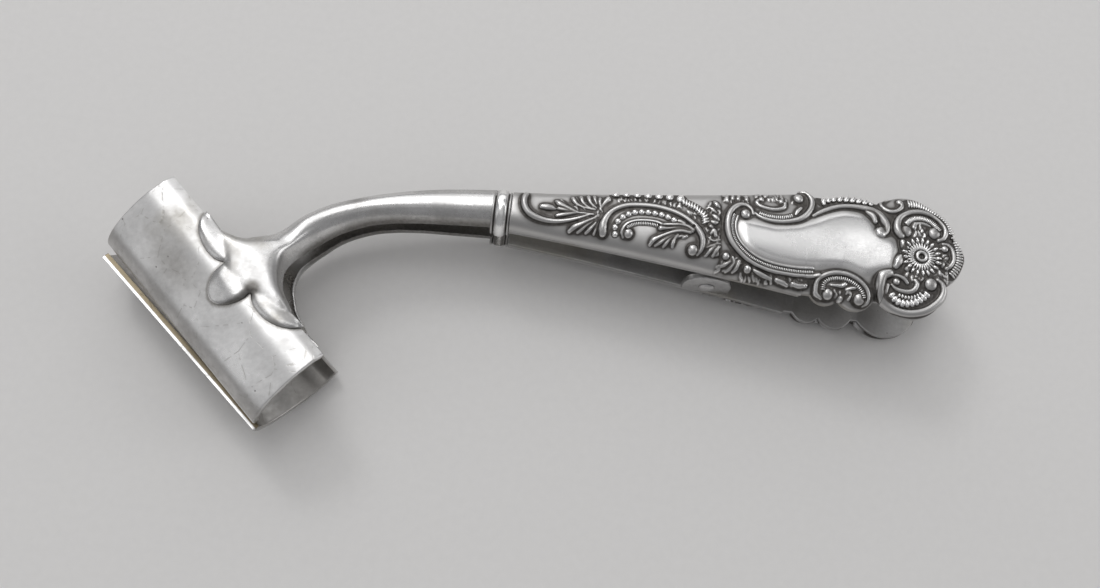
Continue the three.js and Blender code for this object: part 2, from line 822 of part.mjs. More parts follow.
const hingeAndSpring = new THREE.Group();
const earFace = earOuter();
hingeAndSpring.add(
  named("hinge_ear_front", ear(-earFace, -earFace + earThickness), materials.silver),
  named("hinge_ear_back", ear(earFace - earThickness, earFace), materials.silver),
  named("hinge_pin", pin(), materials.silver),
  named("leaf_spring", leafSpring(), materials.springSteel),
);
rivetPlaces().forEach((x, i) => {
  const rivet = named(`spring_rivet_${i + 1}`, springRivet(), materials.springSteel);
  rivet.position.set(x, 0, -plateLevel(x));
  hingeAndSpring.add(rivet);
});

const tongs = new THREE.Group();
tongs.add(upperArm, lowerArm, hingeAndSpring);

// Stand the origin under the middle of the bounding box.
tongs.updateMatrixWorld(true);
const box = new THREE.Box3().setFromObject(tongs, true);
const middle = box.getCenter(new THREE.Vector3());
tongs.position.set(-middle.x, -middle.y, -box.min.z);

export default tongs;
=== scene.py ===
"""Looks of the individual asparagus tongs: two silver arms on a sprung hinge.

Shapes are worked out in millimetres in the handle's frame: x runs along the handle from the middle
of the collar to the flower, y across it and z away from the middle plane between the arms. The
lower arm is the mirror image of the upper one in that plane.
"""

import logging
import math
from dataclasses import dataclass, field
from enum import Enum

import bpy
import numpy as np
from mathutils import Matrix, Vector


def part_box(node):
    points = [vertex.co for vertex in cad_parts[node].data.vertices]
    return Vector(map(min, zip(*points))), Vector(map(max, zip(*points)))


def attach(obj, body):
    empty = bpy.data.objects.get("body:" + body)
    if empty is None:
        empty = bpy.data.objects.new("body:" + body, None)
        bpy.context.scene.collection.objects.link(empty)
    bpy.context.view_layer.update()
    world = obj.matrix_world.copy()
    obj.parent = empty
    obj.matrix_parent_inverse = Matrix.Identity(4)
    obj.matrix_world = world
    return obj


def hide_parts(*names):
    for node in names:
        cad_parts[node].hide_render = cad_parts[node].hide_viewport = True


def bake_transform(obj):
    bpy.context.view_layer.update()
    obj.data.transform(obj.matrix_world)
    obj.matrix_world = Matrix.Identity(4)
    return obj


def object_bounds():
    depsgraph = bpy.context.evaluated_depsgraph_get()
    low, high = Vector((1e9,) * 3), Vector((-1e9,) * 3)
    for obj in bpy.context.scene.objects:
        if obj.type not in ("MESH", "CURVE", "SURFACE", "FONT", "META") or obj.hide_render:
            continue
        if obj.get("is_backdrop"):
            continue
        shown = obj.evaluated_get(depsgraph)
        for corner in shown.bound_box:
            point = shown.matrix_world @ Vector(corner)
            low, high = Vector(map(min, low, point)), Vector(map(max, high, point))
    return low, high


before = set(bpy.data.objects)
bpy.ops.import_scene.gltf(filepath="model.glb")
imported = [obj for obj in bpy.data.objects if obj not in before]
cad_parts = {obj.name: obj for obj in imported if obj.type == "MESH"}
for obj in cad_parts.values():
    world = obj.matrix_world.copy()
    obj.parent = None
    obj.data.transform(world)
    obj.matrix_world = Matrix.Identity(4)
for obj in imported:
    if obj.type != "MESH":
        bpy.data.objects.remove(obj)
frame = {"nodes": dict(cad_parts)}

MILLIMETRE = 0.001
SHORTEST = 1e-9
SPLINE_STEPS = 24
EDGE_STEPS = 4
SLOPE_STEP = 0.05
OFF_JAW = -9.0
SMOOTH = math.pi
CREASE = math.radians(50)
BEAD_CREASE = math.radians(60)
Points = np.ndarray

log = logging.getLogger("tongs")


class Side(Enum):
    """The two arms."""

    UPPER = "upper"
    LOWER = "lower"

    @property
    def body(self) -> str:
        """Name of the CAD body that the arm belongs to."""
        return f"{self.value}_arm"

    @property
    def mirror(self) -> Points:
        """Factors of the three axes that turn the upper arm into this one."""
        return np.array([1.0, 1.0, 1.0 if self is Side.UPPER else -1.0])


class Slot(Enum):
    """Material slots."""

    POLISHED = "polished_silver"
    STRUCK = "struck_silver"
    PLAIN = "plain_silver"
    SPRING = "spring_metal"


# Curves and rows of numbers


def unit(rows: Points) -> Points:
    """Rows brought to length 1 along their last axis."""
    return rows / np.maximum(np.linalg.norm(rows, axis=-1, keepdims=True), SHORTEST)


def left_of(way: Points) -> Points:
    """Flat directions after a quarter turn to the left."""
    return np.stack([-way[..., 1], way[..., 0]], axis=-1)


def turned(rows: Points, angle: float) -> Points:
    """The first two numbers of rows, turned by an angle in radians."""
    flat = rows[..., :2]
    return flat * math.cos(angle) + left_of(flat) * math.sin(angle)


def normals_of(line: Points) -> Points:
    """Left-hand unit normals of a flat line, one for each point."""
    return left_of(unit(np.gradient(line, axis=0)))


def run_of(line: Points) -> Points:
    """How far each point of a line lies along it."""
    steps = np.linalg.norm(np.diff(line, axis=0), axis=1)
    return np.concatenate([[0.0], np.cumsum(steps)])


def circle(centre: tuple, radius: float, count: int) -> Points:
    """Points round a circle, with the last one on the first."""
    angles = np.linspace(0.0, 2 * math.pi, count)
    return np.array(centre) + radius * np.column_stack([np.cos(angles), np.sin(angles)])


def eased(value: Points, low: float, high: float) -> Points:
    """Rises smoothly from 0 to 1 between two limits.

    Args:
        value: Numbers to ease.
        low: Value at which the rise starts.
        high: Value at which it ends.

    Returns:
        Shares from 0 to 1.
    """
    share = np.clip((np.asarray(value, float) - low) / (high - low), 0.0, 1.0)
    return share * share * (3.0 - 2.0 * share)


def spline(points: Points, count: int) -> Points:
    """Runs a smooth curve through points, with even steps along it.

    Args:
        points: Rows of numbers, one for each point; the first two columns give the length.
        count: How many points the result has.

    Returns:
        Rows of the same width.
    """
    points = np.asarray(points, float)
    padded = np.vstack([2 * points[0] - points[1], points, 2 * points[-1] - points[-2]])
    steps = np.linspace(0.0, 1.0, SPLINE_STEPS, endpoint=False)[:, None]
    fine = []
    for before, start, end, after in zip(padded, padded[1:], padded[2:], padded[3:]):
        slope = end - before
        bow = 2 * before - 5 * start + 4 * end - after
        twist = 3 * start - before - 3 * end + after
        fine.append(0.5 * (2 * start + slope * steps + bow * steps**2 + twist * steps**3))
    dense = np.vstack([*fine, points[-1:]])
    run = run_of(dense[:, :2])
    wanted = np.linspace(0.0, run[-1], count)
    return np.stack([np.interp(wanted, run, column) for column in dense.T], axis=1)


def bezier(corners: list[tuple[float, float]], count: int) -> Points:
    """Samples a Bezier curve of any degree.

    Args:
        corners: Control points.
        count: How many points the result has.

    Returns:
        Points from the first corner to the last.
    """
    share = np.linspace(0.0, 1.0, count)[:, None]
    level = [np.repeat(np.array([c], float), count, axis=0) for c in corners]
    while len(level) > 1:
        level = [a * (1 - share) + b * share for a, b in zip(level, level[1:])]
    return level[0]


# Shapes and pieces


@dataclass
class Shape:
    """A closed mesh in the handle's frame, in millimetres.

    Attributes:
        points: Places of the vertices.
        faces: Lists of vertex numbers.
        values: Numbers that the vertices carry, by name.
    """

    points: Points
    faces: list
    values: dict = field(default_factory=dict)

    @classmethod
    def skin(cls, loops: Points, **values: Points) -> "Shape":
        """Skins closed loops of equal length, in order, and closes both ends.

        Args:
            loops: Places with three axes: loop, point, coordinate.
            values: Numbers of the points, with the axes loop and point.

        Returns:
            The shape, with its faces outwards.
        """
        rows, count, _ = loops.shape
        first = np.arange(rows - 1)[:, None] * count
        here = np.arange(count)[None, :]
        there = (here + 1) % count
        quads = np.stack(
            [first + here, first + there, first + there + count, first + here + count], axis=-1
        ).reshape(-1, 4)
        ends = [list(range(count))[::-1], list(range((rows - 1) * count, rows * count))]
        shape = cls(loops.reshape(-1, 3), quads.tolist() + ends)
        shape.values = {name: numbers.reshape(-1) for name, numbers in values.items()}
        return shape.outward()

    def volume(self) -> float:
        """Signed volume, positive where the faces point outwards."""
        total = 0.0
        quads = np.array([f for f in self.faces if len(f) == 4])
        if len(quads):
            a, b, c, d = (self.points[quads[:, i]] for i in range(4))
            total += float(np.einsum("ij,ij->", a, np.cross(b, c) + np.cross(c, d)))
        for face in self.faces:
            if len(face) != 4:
                ring = self.points[face]
                crosses = np.cross(ring[1:-1], ring[2:])
                total += float((crosses @ ring[0]).sum())
        return total / 6.0

    def outward(self) -> "Shape":
        """Turns all faces round if they point inwards, and gives the shape back."""
        if self.volume() < 0:
            self.faces = [list(face)[::-1] for face in self.faces]
        return self

    def joined(self, *others: "Shape") -> "Shape":
        """Puts shapes without values into one mesh, as separate bodies.

        Args:
            others: Shapes to add.

        Returns:
            The joined shape.
        """
        points, faces, start = [self.points], list(self.faces), len(self.points)
        for other in others:
            points.append(other.points)
            faces += [[i + start for i in face] for face in other.faces]
            start += len(other.points)
        return Shape(np.vstack(points), faces)


def rounded_plate(outline: Points, low: float, high: float, edge: float) -> Points:
    """Loops of a flat plate with rounded edges.

    Args:
        outline: Closed outline in two columns.
        low: Height of one face.
        high: Height of the other face.
        edge: Radius of the rounding.

    Returns:
        Loops with the axes loop, point and coordinate; the height comes last.
    """
    after, before = np.roll(outline, -1, axis=0), np.roll(outline, 1, axis=0)
    area = (outline[:, 0] * after[:, 1] - after[:, 0] * outline[:, 1]).sum()
    inward = left_of(unit(unit(after - outline) + unit(outline - before))) * np.sign(area)
    loops = []
    for end, way in ((low, 1), (high, -1)):
        for angle in np.linspace(0.0, math.pi / 2, EDGE_STEPS)[::way]:
            ring = outline + inward * edge * (1 - math.sin(angle))
            height = np.full(len(ring), end + way * edge * (1 - math.cos(angle)))
            loops.append(np.column_stack([ring, height]))
    return np.array(loops)


def shown(name: str, data: bpy.types.ID) -> bpy.types.Object:
    """Puts a mesh, lamp or camera into the scene.

    Args:
        name: Name of the object.
        data: What it shows.

    Returns:
        The object, at the origin.
    """
    thing = bpy.data.objects.new(name, data)
    bpy.context.scene.collection.objects.link(thing)
    return thing


def baked(helper: bpy.types.Object, name: str) -> bpy.types.Mesh:
    """Turns a helper with its modifiers into a plain mesh, and removes the helper.

    Args:
        helper: Object with modifiers.
        name: Name of the mesh.

    Returns:
        The mesh.
    """
    bpy.context.view_layer.update()
    ready = helper.evaluated_get(bpy.context.evaluated_depsgraph_get())
    made = bpy.data.meshes.new_from_object(ready)
    made.name = name
    helper.modifiers.clear()
    rough = helper.data
    bpy.data.objects.remove(helper)
    bpy.data.meshes.remove(rough)
    return made


@dataclass
class Bench:
    """Turns shapes in the handle's frame into Blender objects in the row frame.

    Attributes:
        origin: Place of the handle frame's origin in the row frame, in millimetres.
    """

    origin: Points

    @classmethod
    def from_frame(cls) -> "Bench":
        """Takes the origin from the upper collar, which stands round it, and the whole box.

        Returns:
            The bench.
        """
        low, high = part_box("upper_collar")
        bottom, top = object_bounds()
        middle = [(low[0] + high[0]) / 2, (low[1] + high[1]) / 2, (bottom[2] + top[2]) / 2]
        return cls(np.array(middle) / MILLIMETRE)

    def place(self, points: Points, side: Side = Side.UPPER) -> Points:
        """Row-frame places in metres of an arm's points in millimetres."""
        return (np.asarray(points, float) * side.mirror + self.origin) * MILLIMETRE

    def piece(
        self, name: str, shape: Shape, side: Side, finish: "Finish", sharp: float = SMOOTH
    ) -> bpy.types.Object:
        """Makes a finished piece, turned over for the lower arm, and dresses it.

        Args:
            name: Name of the piece.
            shape: The shape in the handle's frame.
            side: The arm that it is for.
            finish: Its finish.
            sharp: Angle over which an edge stays sharp.

        Returns:
            The new object, which stands at the origin.
        """
        made = bpy.data.meshes.new(name)
        faces = shape.faces
        if side is Side.LOWER:
            faces = [list(face)[::-1] for face in faces]
        made.from_pydata(self.place(shape.points, side).tolist(), [], faces)
        for key, numbers in shape.values.items():
            layer = made.attributes.new(key, "FLOAT", "POINT")
            layer.data.foreach_set("value", np.ascontiguousarray(numbers, np.float32))
        made.materials.append(finish.material)
        made.shade_smooth()
        if sharp < SMOOTH:
            made.set_sharp_from_angle(angle=sharp)
        made.update()
        return shown(name, made)


def settle(thing: bpy.types.Object, body: str, slot: Slot, *nodes: str) -> None:
    """Ties a piece to its CAD body and hides the nodes that it stands for.

    Args:
        thing: The piece.
        body: CAD body that it moves with.
        slot: Not used.
        nodes: CAD nodes that it replaces.
    """
    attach(thing, body)
    for node in nodes:
        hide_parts(node)
    log.info("%s: %d faces on %s", thing.name, len(thing.data.polygons), body)


# Node trees


class Value:
    """A socket that takes part in sums: each operator adds a Math node."""

    def __init__(self, tree: bpy.types.NodeTree, socket: bpy.types.NodeSocket) -> None:
        """Wraps a socket of a tree."""
        self.tree = tree
        self.socket = socket

    def _made(self, operation: str, *terms: object) -> "Value":
        """Adds a Math node.

        Args:
            operation: The node's operation.
            terms: Numbers or values for its sockets.

        Returns:
            The node's result.
        """
        node = self.tree.nodes.new("ShaderNodeMath")
        node.operation = operation
        for socket, term in zip(node.inputs, terms):
            if isinstance(term, Value):
                self.tree.links.new(term.socket, socket)
            else:
                socket.default_value = term
        return Value(self.tree, node.outputs[0])

    def __add__(self, other: object) -> "Value":
        """Adds."""
        return self._made("ADD", self, other)

    __radd__ = __add__

    def __sub__(self, other: object) -> "Value":
        """Takes away."""
        return self._made("SUBTRACT", self, other)

    def __rsub__(self, other: object) -> "Value":
        """Is taken away from a number."""
        return self._made("SUBTRACT", other, self)

    def __mul__(self, other: object) -> "Value":
        """Multiplies."""
        return self._made("MULTIPLY", self, other)

    __rmul__ = __mul__

    def above(self, limit: float) -> "Value":
        """Gives 1 over a limit and 0 under it."""
        return self._made("GREATER_THAN", self, limit)

    def ramp(self, low: float, high: float) -> "Value":
        """Rises in a straight line from 0 to 1 between two limits, which may fall.

        Args:
            low: Value at which the result is 0.
            high: Value at which it is 1.

        Returns:
            The clamped share.
        """
        share = (self - low) * (1.0 / (high - low))
        share.socket.node.use_clamp = True
        return share


class Graph:
    """A node tree that is built by short calls."""

    def __init__(self, tree: bpy.types.NodeTree) -> None:
        """Empties a tree and takes it over."""
        self.tree = tree
        tree.nodes.clear()

    def node(self, kind: str, settings: dict, terms: dict) -> bpy.types.Node:
        """Adds a node.

        Args:
            kind: The node's type.
            settings: Its settings, which are made first.
            terms: Numbers, sockets or values for its sockets, by name or number.

        Returns:
            The node.
        """
        node = self.tree.nodes.new(kind)
        for key, setting in settings.items():
            setattr(node, key, setting)
        for key, term in terms.items():
            socket = node.inputs[key]
            if isinstance(term, Value):
                self.tree.links.new(term.socket, socket)
            elif isinstance(term, bpy.types.NodeSocket):
                self.tree.links.new(term, socket)
            else:
                socket.default_value = term
        return node

    def value(self, node: bpy.types.Node, output: str | int = 0) -> Value:
        """Wraps an output of a node."""
        return Value(self.tree, node.outputs[output])

    def carried(self, name: str) -> Value:
        """Reads a number that the mesh carries."""
        return self.value(self.node("ShaderNodeAttribute", {"attribute_name": name}, {}), "Fac")

    def mixed(self, share: object, first: object, second: object) -> bpy.types.NodeSocket:
        """Mixes two colours.

        Args:
            share: Share of the second colour.
            first: A colour or socket.
            second: A colour or socket.

        Returns:
            Socket of the mixed colour.
        """
        settings = {"data_type": "RGBA", "clamp_factor": True}
        return self.node("ShaderNodeMix", settings, {0: share, 6: first, 7: second}).outputs[2]

    def noise(self, place: bpy.types.NodeSocket, scale: float, detail: float = 3.0) -> Value:
        """Noise from 0 to 1.

        Args:
            place: Coordinates in millimetres.
            scale: Waves for each millimetre.
            detail: Number of finer layers.

        Returns:
            The noise.
        """
        terms = {"Vector": place, "Scale": scale, "Detail": detail}
        return self.value(self.node("ShaderNodeTexNoise", {}, terms))

    def mapped(self, place: bpy.types.NodeSocket, turn: float, stretch: tuple) -> bpy.types.NodeSocket:
        """Turns coordinates about the vertical and stretches them.

        Args:
            place: Coordinates.
            turn: Angle in radians.
            stretch: Factors of the three axes.

        Returns:
            Socket of the new coordinates.
        """
        turned = self.node("ShaderNodeMapping", {}, {"Vector": place, "Rotation": (0.0, 0.0, turn)})
        return self.node("ShaderNodeMapping", {}, {"Vector": turned.outputs[0], "Scale": stretch}).outputs[0]


# Finishes


def silver(level: float, step: float = 0.005) -> tuple:
    """A slightly warm grey, whose green and blue lie one and two steps lower."""
    return level, level - step, level - 2 * step, 1.0


@dataclass(frozen=True)
class SilverFinish:
    """Worn silver: satin clouds, rubbed lines, pits, stains and, where struck, dark hollows that are partly
    patina and partly painted shade.

    Attributes:
        hollow: Colour in the hollows of struck work, partly patina and partly painted shade, and of the
            painted shade under rows of studs.
        ground: Colour of the matt ground of struck work.
        crest: Colour of the highest, most rubbed places of struck work.
        haze: How much rougher the clouds are.
        struck: Whether the mesh carries the rise of its relief.
        satin: Rise at which the satin panel starts, and how it ends towards the crests.
        marks_tarnish_and_shade: Whether the mesh carries a dark mark: real tarnishing in spots, mixed with
            painted shade and a painted dark reflection.
        brown_mark: Mark at which the brown starts and is full; only the painted shadow line along the jaw's
            far rim reaches it.
    """

    name: str
    bright: tuple = silver(0.60)
    dull: tuple = (0.43, 0.425, 0.425, 1.0)
    stain: tuple = (0.36, 0.34, 0.30, 1.0)
    hollow: tuple = (0.065, 0.059, 0.054, 1.0)
    ground: tuple = silver(0.30, 0.01)
    crest: tuple = (0.97, 0.965, 0.955, 1.0)
    roughness: float = 0.24
    haze: float = 0.16
    haze_noise: tuple = (0.40, 0.62)
    cloud_scale: float = 0.22
    mottle_scale: float = 9.0
    stain_limit: float = 0.62
    stain_run: float = 0.12
    rub_turn: float = 0.0
    rub_depth: float = 0.004
    pit_scale: float = 0.7
    pit_limit: float = 0.86
    pit_depth: float = 0.02
    struck: bool = False
    deep: tuple = (0.46, 0.16)
    matt: tuple = (0.8, 0.5)
    rubbed: tuple = (0.88, 1.0)
    satin: tuple = ((0.7, 0.82), (0.93, 0.87))
    grain_depth: float = 0.012
    marks_tarnish_and_shade: bool = False
    tarnish: tuple = (0.25, 0.235, 0.215, 1.0)
    brown: tuple = (0.23, 0.195, 0.135, 1.0)
    brown_mark: tuple = (1.0, 1.5)
    hairlines: float = 0.0
    hairline_depth: float = 0.01

    def material(self) -> bpy.types.Material:
        """Builds the material.

        Returns:
            The material, whose looks vary in colour, roughness and normal only.
        """
        made = bpy.data.materials.new(self.name)
        made.use_nodes = True
        graph = Graph(made.node_tree)
        place = graph.node("ShaderNodeTexCoord", {}, {}).outputs["Object"]
        terms = {"Vector": place, "Scale": 1 / MILLIMETRE}
        scaled = graph.node("ShaderNodeVectorMath", {"operation": "SCALE"}, terms).outputs[0]
        cloud = graph.noise(scaled, self.cloud_scale, 5.0)
        mottle = graph.noise(scaled, self.cloud_scale * self.mottle_scale, 3.0)
        haze = (cloud * 0.72 + mottle * 0.28).ramp(*self.haze_noise)
        rubs = [
            graph.noise(graph.mapped(scaled, self.rub_turn + turn, (0.16, 5.5, 3.0)), scale, 2.0)
            for turn, scale in ((0.0, 1.1), (0.45, 0.8))
        ]
        scratches = rubs[0] * rubs[1]
        terms = {"Vector": scaled, "Scale": self.pit_scale}
        cells = graph.node("ShaderNodeTexVoronoi", {"feature": "F1"}, terms)
        parts = graph.node("ShaderNodeSeparateColor", {}, {"Color": cells.outputs["Color"]})
        chosen = graph.value(parts).above(self.pit_limit)
        pits = graph.value(cells, "Distance").ramp(0.10, 0.05) * chosen
        stains = graph.noise(scaled, self.cloud_scale * 0.55, 4.0)
        stains = stains.ramp(self.stain_limit, self.stain_limit + self.stain_run)
        colour = graph.mixed(haze * 0.75 + scratches.ramp(0.2, 0.36) * 0.12, self.bright, self.dull)
        colour = graph.mixed(stains * (0.35 + 0.4 * mottle), colour, self.stain)
        rough = self.roughness + haze * self.haze + stains * 0.08
        dents = scratches * self.rub_depth - pits * self.pit_depth
        # In struck work a low rise darkens the hollows and the ground under rows of studs: partly patina,
        # partly painted shade.
        if self.struck:
            rise = graph.carried("rise")
            deep, matt = rise.ramp(*self.deep), rise.ramp(*self.matt)
            satin = rise.ramp(*self.satin[0]) * rise.ramp(*self.satin[1])
            colour = graph.mixed(rise.ramp(*self.rubbed), colour, self.crest)
            colour = graph.mixed(matt * 0.55, colour, self.ground)
            colour = graph.mixed(deep * (0.78 + 0.3 * mottle), colour, self.hollow)
            rough = rough + matt * 0.16 + deep * 0.12 + satin * 0.05
            dents = dents + graph.noise(scaled, 7.0, 2.0) * matt * self.grain_depth
        else:
            colour = graph.mixed(pits * 0.7, colour, self.hollow)
        if self.hairlines > 0:
            warped = graph.node("ShaderNodeVectorMath", {"operation": "ADD"}, {0: scaled, 1: cloud})
            terms = {"Vector": warped.outputs[0], "Scale": 0.2}
            cracks = graph.node("ShaderNodeTexVoronoi", {"feature": "DISTANCE_TO_EDGE"}, terms)
            lines = graph.value(cracks, "Distance").ramp(0.012, 0.003) * mottle.ramp(0.5, 0.56)
            colour = graph.mixed(lines * self.hairlines, colour, self.stain)
            dents = dents - lines * self.hairline_depth
        # The dark mark is real tarnishing in spots, with painted shade and a painted dark reflection on the
        # jaw and neck.
        if self.marks_tarnish_and_shade:
            dark_mark = graph.carried("tarnish")
            colour = graph.mixed(dark_mark * (0.5 + 0.35 * mottle + 0.4 * cloud), colour, self.tarnish)
            colour = graph.mixed(dark_mark.ramp(*self.brown_mark), colour, self.brown)
            rough = rough + dark_mark * 0.06
        terms = {"Strength": 1.0, "Distance": MILLIMETRE, "Height": dents}
        bump = graph.node("ShaderNodeBump", {}, terms).outputs[0]
        terms = {"Base Color": colour, "Metallic": 1.0, "Roughness": rough, "Normal": bump}
        shader = graph.node("ShaderNodeBsdfPrincipled", {}, terms)
        graph.node("ShaderNodeOutputMaterial", {}, {"Surface": shader.outputs[0]})
        return made


class Finish(Enum):
    """The finishes of the tongs."""

    JAW = SilverFinish(
        "satin_silver_sheet", bright=silver(0.84), dull=silver(0.62), roughness=0.27, haze=0.13,
        rub_turn=-0.83, cloud_scale=0.15, stain_limit=0.54, marks_tarnish_and_shade=True, hairlines=0.4,
    )
    # Its darker mark colour paints the shade between the necks and round the petals.
    NECK = SilverFinish(
        "satin_silver_rod", bright=silver(0.74), dull=silver(0.53), marks_tarnish_and_shade=True,
        tarnish=(0.17, 0.16, 0.148, 1.0), roughness=0.22, haze=0.10, cloud_scale=0.26, stain_limit=0.57,
    )
    STRUCK = SilverFinish(
        "struck_silver_relief", bright=silver(0.78), dull=silver(0.70), ground=silver(0.34, 0.01),
        roughness=0.18, haze=0.06, stain_limit=0.7, struck=True, rub_depth=0.002,
    )
    STUDS = SilverFinish(
        "struck_silver_studs", bright=silver(0.92), dull=silver(0.80), ground=silver(0.38, 0.01),
        roughness=0.2, haze=0.08, struck=True, rub_depth=0.0015,
    )
    PLATE = SilverFinish(
        "plain_silver_plate", bright=silver(0.46), dull=silver(0.33), roughness=0.30, haze=0.18,
        stain_limit=0.5, rub_depth=0.005,
    )
    FITTINGS = SilverFinish("hinge_silver", roughness=0.28, haze=0.15, cloud_scale=0.6, rub_depth=0.003)
    SPRING = SilverFinish(
        "spring_leaf_metal", bright=(0.42, 0.40, 0.37, 1.0), dull=(0.28, 0.265, 0.245, 1.0),
        roughness=0.33, rub_depth=0.008,
    )

    @property
    def material(self) -> bpy.types.Material:
        """The finish's material, made when it is first asked for."""
        return bpy.data.materials.get(self.value.name) or self.value.material()


# Ornament of the handle: each stroke is a row of x, y and radius for each of its points

STROKE_RISE = 1.15
BUD_RISE = 1.0
BEAD_RISE = 1.5
RING_RISE = 1.4
BALL_RISE = 0.82
BALL_LEVEL = 0.72

# The plain shank's hooked scroll, the bud with its tulip, and the two leaf sprays
SHANK_STROKES = (
    (3.1, 2.0, 0.38, 2.95, 1.2, 0.42, 3.05, 0.35, 0.44, 3.45, -0.35, 0.44, 4.1, -0.85, 0.42,
     5.1, -1.2, 0.38, 6.4, -1.38, 0.33, 7.9, -1.32, 0.3, 9.4, -1.02, 0.27, 10.8, -0.55, 0.24,
     12.0, 0.0, 0.2),
    (7.35, 1.45, 0.26, 7.75, 1.1, 0.4, 8.6, 0.75, 0.34, 9.6, 0.4, 0.24, 10.4, 0.15, 0.14),
    (7.7, 0.45, 0.26, 8.4, 0.35, 0.3, 9.4, 0.2, 0.22, 10.3, 0.1, 0.12),
    (7.6, -0.6, 0.26, 8.3, -0.4, 0.3, 9.4, -0.12, 0.22, 10.3, 0.05, 0.12),
    (7.9, 1.85, 0.1, 8.6, 1.3, 0.12, 9.3, 0.8, 0.1, 9.9, 0.4, 0.08),
    (10.2, 0.1, 0.14, 11.4, 0.12, 0.14, 12.4, 0.05, 0.18),
    (9.5, 2.25, 0.24, 9.75, 1.75, 0.3, 10.2, 1.3, 0.22, 11.2, 0.95, 0.16, 12.6, 0.8, 0.14),
    (10.6, 2.5, 0.26, 10.75, 1.95, 0.3, 11.15, 1.4, 0.22, 12.0, 0.95, 0.14),
    (11.6, 2.7, 0.27, 11.75, 2.1, 0.32, 12.1, 1.55, 0.24, 12.8, 1.05, 0.14),
    (12.4, 2.8, 0.24, 12.5, 2.25, 0.28, 12.75, 1.7, 0.2),
    (13.15, 2.55, 0.24, 13.15, 2.0, 0.3, 13.3, 1.35, 0.2),
    (14.3, 2.6, 0.36, 13.9, 2.1, 0.28, 13.6, 1.6, 0.2, 13.4, 1.1, 0.14),
    (9.5, -2.45, 0.26, 10.05, -1.95, 0.38, 10.9, -1.5, 0.36, 11.8, -0.95, 0.28, 12.7, -0.4, 0.2,
     13.1, 0.1, 0.14),
    (10.6, -2.5, 0.2, 11.0, -2.2, 0.26, 11.5, -1.75, 0.28, 12.2, -1.2, 0.22, 12.9, -0.7, 0.14),
    (11.7, -2.5, 0.2, 12.1, -2.1, 0.28, 12.55, -1.6, 0.24, 12.9, -1.1, 0.2),
    (12.8, -2.55, 0.18, 12.95, -2.1, 0.22, 13.05, -1.6, 0.16),
)

# The arch over the pearls, the small ribbed scroll under them and the acanthus leaf
ARCH_STROKES = (
    (13.95, -2.35, 0.5, 13.85, -1.7, 0.6, 13.95, -0.9, 0.5, 14.3, 0.0, 0.4, 14.9, 0.8, 0.34,
     15.8, 1.45, 0.34, 17.0, 1.93, 0.34, 18.5, 2.15, 0.34, 20.2, 2.2, 0.34, 21.8, 2.02, 0.34,
     23.3, 1.65, 0.33, 24.5, 1.15, 0.33, 25.6, 0.45, 0.36, 26.5, -0.4, 0.42, 27.15, -1.3, 0.42,
     27.4, -2.3, 0.4, 27.25, -3.2, 0.34, 26.8, -3.85, 0.26),
    (16.75, -2.6, 0.2, 16.5, -2.0, 0.24, 16.65, -1.4, 0.24, 17.1, -0.8, 0.22, 17.8, -0.38, 0.2,
     18.8, -0.12, 0.19, 20.0, -0.03, 0.19, 21.0, -0.1, 0.19, 21.7, -0.35, 0.22),
    (22.0, -0.35, 0.18, 23.0, -0.25, 0.24, 24.2, -0.15, 0.28, 25.2, -0.3, 0.3, 26.0, -0.7, 0.3),
    (21.6, -0.95, 0.34, 22.6, -0.85, 0.2, 23.8, -0.65, 0.2, 25.0, -0.7, 0.22, 25.9, -0.95, 0.24),
    (20.4, -3.25, 0.2, 20.75, -2.7, 0.34, 21.5, -2.2, 0.3, 22.4, -1.7, 0.26, 23.4, -1.25, 0.26,
     24.4, -1.0, 0.26, 25.6, -1.1, 0.24),
    (21.1, -3.3, 0.16, 21.8, -2.8, 0.28, 22.6, -2.2, 0.24, 23.4, -1.65, 0.2),
    (22.2, -3.35, 0.16, 22.5, -2.9, 0.28, 23.0, -2.3, 0.24, 23.6, -1.75, 0.18),
    (23.4, -3.25, 0.18, 23.4, -2.75, 0.28, 23.6, -2.2, 0.22, 24.0, -1.6, 0.18),
    (23.6, 0.3, 0.2, 24.1, 0.3, 0.3, 24.7, 0.05, 0.3),
)

